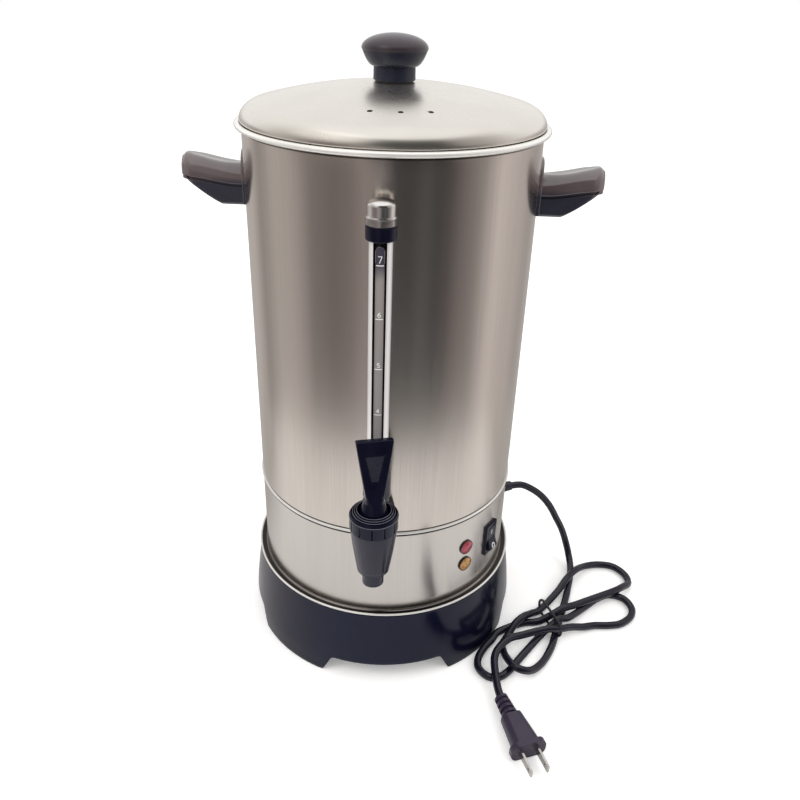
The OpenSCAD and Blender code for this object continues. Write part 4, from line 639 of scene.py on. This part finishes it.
def handle(name, side, node):
    """One handle as loops across its reach. Each loop is an arched top, a thin lip, and a wedge below
    with a flat foot; its width closes by a quarter circle at the outer corners, its crown rises
    outwards, and a leaf-shaped dish runs along the middle of its top. The flange that hugs the
    wall is a pad whose outline is a rectangle under a half circle."""
    n = np.concatenate([np.linspace(99.0, 132, 26), 134 + 10 * np.sin(np.radians(np.linspace(4, 90, 16)))])
    grip_half, corner_r, foot_z = 15.0, 10.0, 346.4
    half = grip_half - corner_r + np.sqrt(np.clip(corner_r**2 - np.clip(n - 134, 0, corner_r) ** 2, 0, None))
    crown = 372.6 + 5.8 * smooth(98, 134, n) + 0.4 * smooth(134, 140, n) - 2.6 * smooth(140.5, 144.2, n)
    lip = 361.6 + 4.2 * smooth(104, 140, n)
    foot = foot_z + (lip - 2.2 - foot_z) * np.clip((n - 116) / 26.0, 0, 1) ** 1.08
    t = np.linspace(-1, 1, 41)
    arch = np.sqrt(np.clip(1 - 0.80 * t**2, 0, None))
    arch = (arch - arch[0]) / (1 - arch[0])
    edge = np.clip((1 - np.abs(t)) / 0.10, 0, 1) ** 0.5
    x_top = half[:, None] * t
    z_top = lip[:, None] + 1.0 + (crown - lip - 1.0)[:, None] * (0.30 * edge + 0.70 * arch)
    leaf = np.sin(pi * np.clip((n - 103) / 38, 0, 1))
    dish = np.exp(-((x_top / (1.5 + 5.2 * leaf)[:, None]) ** 2))
    z_top -= (2.1 * leaf**1.2)[:, None] * dish
    inner = np.maximum(half - 1.5, 0.4)[:, None]
    deep = np.maximum(half - 3.0, 0.3)[:, None]
    h, l, b = half[:, None], lip[:, None], foot[:, None]
    right = [(h, l + 0.1), (h - 0.3, l - 0.5), (h - 0.9, l - 0.7), (deep, l - 0.7), (deep, l - 2.7),
             (inner, l - 2.8), (inner + 0.1, l - 3.1), (inner - 0.2, b + 2.2), (inner - 0.8, b + 0.6),
             (inner - 2.0, b)]
    xs = np.concatenate([x_top] + [v[0] for v in right] + [-v[0] for v in right[::-1]], 1)
    zs = np.concatenate([z_top] + [v[1] for v in right] + [v[1] for v in right[::-1]], 1)
    ns = np.repeat(n[:, None], xs.shape[1], 1)
    xs, zs, ns = path(xs, xs[-1:] * 0), path(zs, zs[-1:]), path(ns, ns[-1:])
    s = 1.0 if side > 0 else -1.0
    grip = np.stack([s * ns, s * xs, zs], -1)
    pad_half, pad_z, pad_foot = 15.5, 368.5, 347.6
    turn = 2 * pi * np.linspace(0, 1, 96, endpoint=False)
    ox = np.clip(1.45 * np.cos(turn), -1, 1) * pad_half
    oz = np.where(np.sin(turn) > 0, pad_z + np.sqrt(np.clip(pad_half**2 - ox**2, 0, None)),
                  np.maximum(pad_z + 34 * np.sin(turn), pad_foot))
    rings = []
    for scale, out in ((1.0, -0.6), (1.0, 1.3), (0.985, 1.9), (0.95, 2.3), (0.6, 2.4), (0.0, 2.4)):
        x, z = ox * scale, 366 + (oz - 366) * scale
        r = TANK_R + out
        rings.append(np.stack([s * np.sqrt(r**2 - x**2), s * x, z], -1))
    pad = (np.array(rings), {"middle": (s * 90, 0, 366)})
    piece(name, FINISH["handle"], "root", grip, pad, sharp=42, slot="black_gloss", replaces=[node])


def gauge():
    """The sight gauge: a bright guard tube with a slot in front that ends in a round arch, a black
    collar, a ridged ring and a satin domed cap."""
    half_slot, arch_z, tube_r, bore_r = 4.0, 356.0, 7.0, 6.35
    z = np.concatenate([[183.0, 190.9], np.linspace(191, arch_z, 24),
                        arch_z + half_slot * np.sin(np.radians(np.linspace(8, 90, 12))), [360.2, 371.0]])
    half = np.where(z < 191, 0, np.where(z > arch_z + half_slot + 0.001, 0, half_slot))
    curved = (z > arch_z) & (z <= arch_z + half_slot + 0.001)
    half[curved] = np.sqrt(np.clip(half_slot**2 - (z[curved] - arch_z) ** 2, 0, None))
    u = np.linspace(0, 1, 73)
    loops = []
    for r in (tube_r, bore_r):
        open_a = np.arcsin(half / r)
        a = open_a[:, None] + u * (2 * pi - 2 * open_a[:, None])
        loops.append(np.stack([r * np.sin(a), GAUGE_Y - r * np.cos(a), np.repeat(z[:, None], 73, 1)], -1))
    shell = np.concatenate([loops[0], loops[1][:, ::-1]], 1)
    piece("guard_tube", FINISH["guard"], "root", shell, sharp=50, slot="chrome", replaces=["gauge_guard"])
    at = (0, GAUGE_Y, 0)
    dome = np.radians(np.linspace(12, 90, 9))
    knurl_r, teeth = 8.85, 44
    cap = path([(7.1, 366.2), (8.3, 366.2), (knurl_r, 366.5), (knurl_r, 370.2)],
               [(8.5, 370.45), (9.25, 370.7), (9.3, 371.2), (9.1, 371.5), (8.35, 371.6)],
               line((8.4, 371.9), (8.4, 377.3), 4),
               np.stack([8.4 * np.cos(dome), 377.3 + 3.9 * np.sin(dome)], -1))
    cap[-1, 0] = 0
    grid = revolve(cap, at, n=4 * teeth)
    knurl = (np.abs(cap[:, 0] - knurl_r) < 0.01)[:, None] & (np.arange(4 * teeth) % 4 < 2)
    centre = np.array([0, GAUGE_Y, 0.0])
    grid = np.where(knurl[..., None], centre + (grid - centre) * np.array([0.93, 0.93, 1.0]), grid)
    piece("gauge_cap_skin", FINISH["bright"], "root", grid, sharp=30, slot="chrome", replaces=["gauge_cap"])
    collar = [(7.1, 357.8), (8.7, 357.8), (9.05, 358.2), (9.1, 358.8), (9.1, 365.2), (8.9, 365.8),
              (8.4, 366.1), (7.1, 366.1)]
    piece("collar", FINISH["black"], "root", (revolve(collar, at, n=64), {"looped": True}),
          slot="black_gloss", replaces=["gauge_collar"])


def ribbon(points, width):
    """A stroke of even width along flat points: each point moves half the width to both sides, square
    to the line there."""
    p = np.asarray(points, float)
    t = np.gradient(p, axis=0)
    t /= np.linalg.norm(t, axis=1)[:, None]
    side = np.stack([-t[:, 1], t[:, 0]], -1) * width / 2
    return np.stack([p + side, p - side], 1)


def digit_strokes(d):
    """The strokes of a digit in a box 0.6 wide and 1 high, from lines and arcs."""
    shapes = {
        "3": [arc(0.3, 0.75, 0.25, 150, -80, 12), arc(0.3, 0.27, 0.27, 85, -150, 13)],
        "4": [line((0.45, 0), (0.45, 1), 6), line((0.45, 1), (0.0, 0.3), 6),
              line((0.0, 0.3), (0.62, 0.3), 6)],
        "5": [line((0.55, 1), (0.1, 1), 6), line((0.1, 1), (0.06, 0.5), 6),
              arc(0.29, 0.31, 0.3, 140, -140, 14)],
        "6": [arc(0.72, 0.3, 0.72, 105, 180, 8), arc(0.3, 0.29, 0.28, 0, 360, 16)],
        "7": [line((0.0, 1), (0.6, 1), 8), line((0.6, 1), (0.2, 0), 8)],
    }
    return shapes[d]


def gauge_print():
    """The grey strip on the front of the glass with its litre numbers and lines."""
    def wrap(uv, r):
        a = uv[..., 0] / r
        return np.stack([r * np.sin(a), GAUGE_Y - r * np.cos(a), uv[..., 1]], -1)
    out = {"around": False, "middle": (0, GAUGE_Y, 270.0)}
    strip_half, low, high = 2.8, 191.5, 352.0
    arch = strip_half * np.sin(np.radians(np.linspace(6, 90, 12)))
    v = np.concatenate([np.linspace(low, high, 40), high + arch])
    half = np.where(v < high + 0.001, strip_half, np.sqrt(np.clip(strip_half**2 - (v - high) ** 2, 0, None)))
    face = np.stack([half[:, None] * np.linspace(-1, 1, 9), np.repeat(v[:, None], 9, 1)], -1)
    piece("strip_face", FINISH["strip"], "root", (wrap(face, 5.26), out))
    rim_r = 2.7
    rim = path(line((-rim_r, 345), (-rim_r, high), 3), arc(0, high, rim_r, 175, 5, 15),
               line((rim_r, high), (rim_r, 345), 3))
    piece("strip_arch", FINISH["bright"], "root", (wrap(ribbon(rim, 0.22), 5.33), out))
    strokes = []
    for number, z in (("7", 345), ("6", 312), ("5", 279), ("4", 247), ("3", 214)):
        tall = 4.0 if number == "7" else 2.8
        for stroke in digit_strokes(number):
            strokes.append((wrap(ribbon(stroke * tall + (-0.3 * tall, z), 0.42), 5.32), out))
        strokes.append((wrap(ribbon(line((-2.4, z - 1.4), (2.4, z - 1.4), 7), 0.55), 5.32), out))
    piece("gauge_numbers", FINISH["print"], "root", *strokes)


def bonnet():
    """The tap's screwed bonnet: a band with finger grooves, whose depth falls off as a bell curve round
    each groove, and a top with half-round ridges that rise towards the lever's mouth. Below it is
    the barrel's skin, whose radius falls by a power of the depth to a rounded foot."""
    top = [(10.3, 181.0), (10.6, 184.5)]
    for r, z in ((11.2, 187.6), (12.5, 186.8), (13.8, 186.0), (15.1, 185.2)):
        top += [(r - 0.4, z - 0.5), (r - 0.25, z), (r, z + 0.2), (r + 0.25, z), (r + 0.4, z - 0.6),
                (r + 0.62, z - 0.8)]
    band_r, groove_depth = 16.0, 0.055
    band = line((band_r, 183.6), (band_r, 174.6), 12)
    prof = path([(10.3, 176.0)], top, [(15.95, 184.0)], band, [(15.7, 174.1), (12, 174.0)])
    grid = revolve(prof, (0, TAP_Y, 0), n=360)
    az = np.arctan2(grid[..., 0], -(grid[..., 1] - TAP_Y))
    off = (np.degrees(az) + 15) % 30 - 15
    z = grid[..., 2]
    groove = np.exp(-(off / 1.6) ** 2) * smooth(174.9, 176, z) * (1 - smooth(182.4, 183.4, z))
    groove *= np.isclose(np.hypot(grid[..., 0], grid[..., 1] - TAP_Y), band_r)
    grid[..., 0] *= 1 - groove_depth * groove
    grid[..., 1] = TAP_Y + (grid[..., 1] - TAP_Y) * (1 - groove_depth * groove)
    piece("bonnet", FINISH["black"], "root", grid, sharp=30, slot="black_gloss", replaces=["tap_bonnet"])
    t = np.linspace(0, 1, 24)
    foot = np.radians([20, 45, 70, 90])
    skin = path([(14.9, 173.95)], np.stack([15.35 - 4.15 * t**1.3, 173.9 - 31.6 * t], -1),
                np.stack([11.2 - 2.6 * (1 - np.cos(foot)), 142.3 - 3.1 * np.sin(foot)], -1), [(7.3, 139.1)])
    piece("barrel_skin", FINISH["barrel"], "root", revolve(skin, (0, TAP_Y, 0), n=96), slot="black_gloss")
    # Thin pale rings on the bonnet's ridge crests, its band's top edge and the barrel's foot: painted
    # highlights.
    crests = [(revolve(arc(r, z, 0.2, 0, 315, 8), (0, TAP_Y, 0), n=96), {"looped": True})
              for r, z in ((11.2, 187.75), (12.5, 186.95), (13.8, 186.15), (16.0, 183.75), (7.6, 139.0))]
    piece("painted_highlight_edges", FINISH["edge"], "root", *crests, slot="black_gloss")


def lever():
    """The lever: loops stacked upwards from a ball foot. Each loop is a superellipse, round at the foot
    and squarer upwards, whose width narrows to a neck and widens to the top; the face has a sunk
    panel with straight sides. The paddle leans back and is turned a little about the tap's axis."""
    ball_r, sides, lean, sink = 9.8, 320, 0.035, 0.7
    ball = np.radians(np.linspace(-24, 10, 8))
    z = np.concatenate([ball_r * np.sin(ball), np.linspace(3.4, 15.5, 9), np.linspace(16.5, 56, 64),
                        [56.6, 56.9, 57.0]])
    a = np.concatenate([ball_r * np.cos(ball), np.linspace(9.3, 6.0, 9),
                        5.95 + 6.0 * np.linspace(0, 1, 64) ** 0.95, [11.8, 11.4, 10.0]])
    b = np.concatenate([ball_r * np.cos(ball), np.linspace(9.3, 4.6, 9), np.linspace(4.5, 2.4, 64),
                        [2.2, 1.8, 1.1]])
    power = 2 + 7 * smooth(12, 19, z)
    phi = np.linspace(0, 2 * pi, sides, endpoint=False)
    dx, dy = a[:, None] * np.cos(phi), b[:, None] * np.sin(phi)
    size = np.hypot(dx, dy)
    c, d = np.abs(dx / size), np.abs(dy / size)
    rho = ((c / a[:, None]) ** power[:, None] + (d / b[:, None]) ** power[:, None]) ** (-1 / power[:, None])
    x, y = rho * dx / size, rho * dy / size
    panel_half = lambda up: np.interp(up, [28, 47], [2.5, 6.6])
    half = panel_half(z)[:, None]
    across = 1 - smooth(half - 0.5, half, np.abs(x))
    upwards = smooth(27.5, 28.2, z) * (1 - smooth(46.6, 47.3, z))
    y = y + sink * across * upwards[:, None] * (y < 0)
    y = y + (lean * np.clip(z - 15, 0, None))[:, None]

    def place(px, py, pz):
        return np.stack([px * cos(LEVER_YAW) + py * sin(LEVER_YAW),
                         TAP_Y - px * sin(LEVER_YAW) + py * cos(LEVER_YAW), PIVOT_Z + pz], -1)
    grid = place(x, y, np.repeat(z[:, None], sides, 1))
    tip = np.repeat(grid[-1:].mean(1, keepdims=True), sides, 1)
    piece("lever_skin", FINISH["black"], "lever", np.concatenate([grid, tip]), sharp=34,
          slot="black_gloss", replaces=["tap_lever"])
    # The sunk panel's floor is a thin patch of paler black laid over it: painted light.
    pz = np.linspace(28.6, 46.4, 20)
    px = np.linspace(-1, 1, 9) * (panel_half(pz) - 0.55)[:, None]
    depth = -np.interp(pz, z, b) + sink - 0.04 + lean * (pz - 15)
    patch = place(px, np.repeat(depth[:, None], 9, 1), np.repeat(pz[:, None], 9, 1))
    out = {"around": False, "middle": (0, TAP_Y + 30, 225.0)}
    piece("lever_panel", FINISH["panel"], "lever", (patch, out))


def first_hits(obj, starts, way):
    """Where rays from the starts first meet an object. Each ray is tried against all triangles at once,
    by solving start + t way = corner + u edge + v edge for t, u and v with cross products."""
    mesh = obj.data
    mesh.calc_loop_triangles()
    corners = np.empty(3 * len(mesh.loop_triangles), np.int32)
    mesh.loop_triangles.foreach_get("vertices", corners)
    points = np.empty(3 * len(mesh.vertices), np.float32)
    mesh.vertices.foreach_get("co", points)
    world = np.array(obj.matrix_world)
    points = points.reshape(-1, 3) @ world[:3, :3].T + world[:3, 3]
    a, b, c = points[corners.reshape(-1, 3)].transpose(1, 0, 2)
    square = np.cross(way, c - a)
    flatness = ((b - a) * square).sum(-1)
    flatness = np.where(np.abs(flatness) < 1e-15, np.nan, flatness)
    off = starts[:, None] - a
    turned = np.cross(off, b - a)
    u, v = (off * square).sum(-1) / flatness, turned @ way / flatness
    t = (turned * (c - a)).sum(-1) / flatness
    hit = (u > -1e-6) & (v > -1e-6) & (u + v < 1 + 1e-6) & (t > 0)
    return starts + np.where(hit, t, np.inf).min(1)[:, None] * way


def switch_marks():
    """The white line and ring on the rocker: flat strokes dropped square onto its face."""
    a = radians(SWITCH_AZ)
    inward = np.array([-sin(a), cos(a), 0.0])

    def drop(uv):
        start = here(on_wall(SWITCH_AZ, uv[..., 0], SWITCH_Z + uv[..., 1], 20.0))
        flat = first_hits(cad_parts["switch_rocker"], start.reshape(-1, 3), inward) - inward * 0.00006
        return flat.reshape(start.shape) * 1000.0 - (0, TANK_BACK, 0)
    out = {"around": False, "middle": on_wall(SWITCH_AZ, 0, SWITCH_Z, -10.0)}
    ring = drop(ribbon(arc(0, -6.2, 1.7, 0, 360, 25), 0.85))
    bar = drop(ribbon(line((0, 3.8), (0, 7.8), 5), 0.85))
    piece("switch_marks", FINISH["print"], "rocker", (ring, out), (bar, out))


tank_wall()
skirt()
base()
lid()
knob()
handle("left_grip", -1, "handle_left")
handle("right_grip", 1, "handle_right")
gauge()
gauge_print()
bonnet()
lever()
switch_marks()


# ---------------------------------------------------------------- floor, surroundings and light

def bare_tree(owner):
    """The emptied node tree of a material or a world."""
    owner.use_nodes = True
    owner.node_tree.nodes.clear()
    return owner.node_tree


def white_to_camera(tree, output, shade, white):
    """Camera rays see the white shader and all other rays the shade."""
    ray = add(tree, "LightPath")
    mixed = add(tree, "MixShader", {0: ray.outputs["Is Camera Ray"], 1: shade.outputs[0],
                                    2: white.outputs[0]})
    add(tree, output, {"Surface": mixed.outputs[0]})


def lay_floor():
    """A pale floor that keeps the shadow. Its reflection in the steel is greyer behind the urn."""
    mesh = bpy.data.meshes.new("floor")
    mesh.from_pydata([(-4, -4, 0), (4, -4, 0), (4, 4, 0), (-4, 4, 0)], [], [(0, 1, 2, 3)])
    floor = show(bpy.data.objects.new("floor", mesh))
    mat = bpy.data.materials.new("floor_white")
    tree = bare_tree(mat)
    tone = blend_colours(tree, span(tree, along_axis(tree, "Y"), 0, 1, 0.0, 0.11),
                         [(0.0, (0.72, 0.72, 0.725)), (1.0, (0.42, 0.41, 0.40))])
    plain = add(tree, "BsdfDiffuse", {"Color": tone})
    lit = add(tree, "BsdfDiffuse", {"Color": (1, 1, 1, 1)})
    lift = add(tree, "Emission", {"Color": (1, 1, 1, 1), "Strength": 0.2})
    white = add(tree, "AddShader", {0: lit.outputs[0], 1: lift.outputs[0]})
    white_to_camera(tree, "OutputMaterial", plain, white)
    mesh.materials.append(mat)


def light_room():
    """A pale room: white to the camera, and to all other rays greyer towards the floor."""
    world = bpy.data.worlds.new("room")
    bpy.context.scene.world = world
    tree = bare_tree(world)
    sky = blend_colours(tree, span(tree, along_axis(tree, "Z", "Generated"), 0, 1, -0.1, 1.0),
                        [(0.0, (0.62, 0.6, 0.59)), (0.35, (0.9, 0.88, 0.86)), (1.0, (1, 1, 1))])
    room = add(tree, "Background", {"Color": sky, "Strength": 1.0})
    white = add(tree, "Background", {"Color": (1, 1, 1, 1), "Strength": 1.0})
    white_to_camera(tree, "OutputWorld", room, white)


# The cards' tone by azimuth from the tap, dark in front and paler to the sides, and the share of
# green and blue in it.
CARD_TONES = [(-180, .5), (-128, .5), (-120, .56), (-103, .30), (-86, .50), (-70, .46), (-52, .21),
              (-35, .15), (-24, .19), (-15, .30), (-4, .24), (5, .05), (18, .05), (25, .085), (33, .05),
              (42, .07), (54, .19), (67, .32), (76, .55), (84, .68), (98, .56), (112, .50), (125, .40),
              (150, .5), (180, .5)]
CARD_TINTS = [(-180, .95, .92), (-70, .95, .92), (-52, .88, .86), (-15, .86, .84), (5, .98, 1.0),
              (33, .98, 1.0), (45, .90, .90), (76, .94, .92), (180, .95, .92)]


def stand_cards():
    """A ring of dark and light cards round the urn, from the floor to far above the lid, that only its
    reflections see, as a studio gives polished metal something to show. The tone by azimuth is
    smoothed with a bell-shaped average. Above the rim the ring is dark in front and to the right of
    the tap and pale at the sides and behind, and its top edge is paler still."""
    radius, n = 430.0, 721
    zs = np.array([4.0, 415.0, 440.0, 760.0, 980.0])
    deg = np.linspace(-180, 180, n)
    a = np.radians(deg)
    ring = np.stack(np.broadcast_arrays(radius * np.sin(a), -radius * np.cos(a), zs[:, None]), -1)
    k = (np.arange(n - 1) + n * np.arange(len(zs) - 1)[:, None]).ravel()
    mesh = bpy.data.meshes.new("cards")
    faces = np.stack([k, k + 1, k + n + 1, k + n], -1)
    mesh.from_pydata(here(ring.reshape(-1, 3)).tolist(), [], faces.tolist())
    tone = np.interp(deg, *np.array(CARD_TONES).T)
    bell = np.hanning(17)
    tone = np.convolve(np.pad(tone, 8, mode="edge"), bell / bell.sum(), mode="valid")[:, None]
    at, green, blue = np.array(CARD_TINTS).T
    low = tone * np.stack([np.ones(n), np.interp(deg, at, green), np.interp(deg, at, blue)], -1)
    dark = (smooth(-20, -6, deg) * (1 - smooth(36, 50, deg)))[:, None]
    pale = smooth(55, 115, np.abs(deg))[:, None]
    high = (0.035 * dark + (1 - dark) * (0.36 + 0.57 * pale)) * (1 - (1 - pale) * (0.0, 0.05, 0.10))
    rgb = np.concatenate([low, low, high, high, 0.5 * high + 0.46])
    colour = mesh.color_attributes.new("tone", "FLOAT_COLOR", "POINT")
    colour.data.foreach_set("color", np.c_[rgb, np.ones(len(rgb))].ravel())
    cards = show(bpy.data.objects.new("cards", mesh))
    mat = bpy.data.materials.new("card_tones")
    mat.cycles.emission_sampling = "NONE"
    tree = bare_tree(mat)
    painted = add(tree, "Attribute", attribute_name="tone")
    glow = add(tree, "Emission", {"Color": painted.outputs["Color"], "Strength": 1.0})
    add(tree, "OutputMaterial", {"Surface": glow.outputs[0]})
    mesh.materials.append(mat)
    cards.visible_camera = cards.visible_diffuse = cards.visible_shadow = cards.visible_transmission = False


# Name, place in metres, width and power of each lamp.
LAMPS = [("key_lamp", (-1.1, -0.9, 1.7), 0.9, 11.0), ("fill_lamp", (1.3, -0.7, 1.4), 1.1, 6.0),
         ("back_lamp", (0.2, 1.5, 1.6), 1.0, 5.0)]


def hang_lamps():
    """Soft lamps turned to the middle of the urn. Only the key lamp shows in the steel."""
    for name, where, size, power in LAMPS:
        data = bpy.data.lights.new(name, "AREA")
        data.size, data.energy, data.color = size, power, (1.0, 0.985, 0.965)
        lamp = show(bpy.data.objects.new(name, data))
        lamp.visible_glossy = name == "key_lamp"
        back = np.array(where) - (0, 0.02, 0.2)
        back /= np.linalg.norm(back)
        side = np.cross((0, 0, 1.0), back)
        side /= np.linalg.norm(side)
        lift = np.cross(back, side)
        lamp.matrix_world = Matrix([[side[k], lift[k], back[k], where[k]] for k in range(3)] + [[0, 0, 0, 1]])


lay_floor()
light_room()
stand_cards()
hang_lamps()
bpy.context.scene.view_settings.view_transform = "Standard"
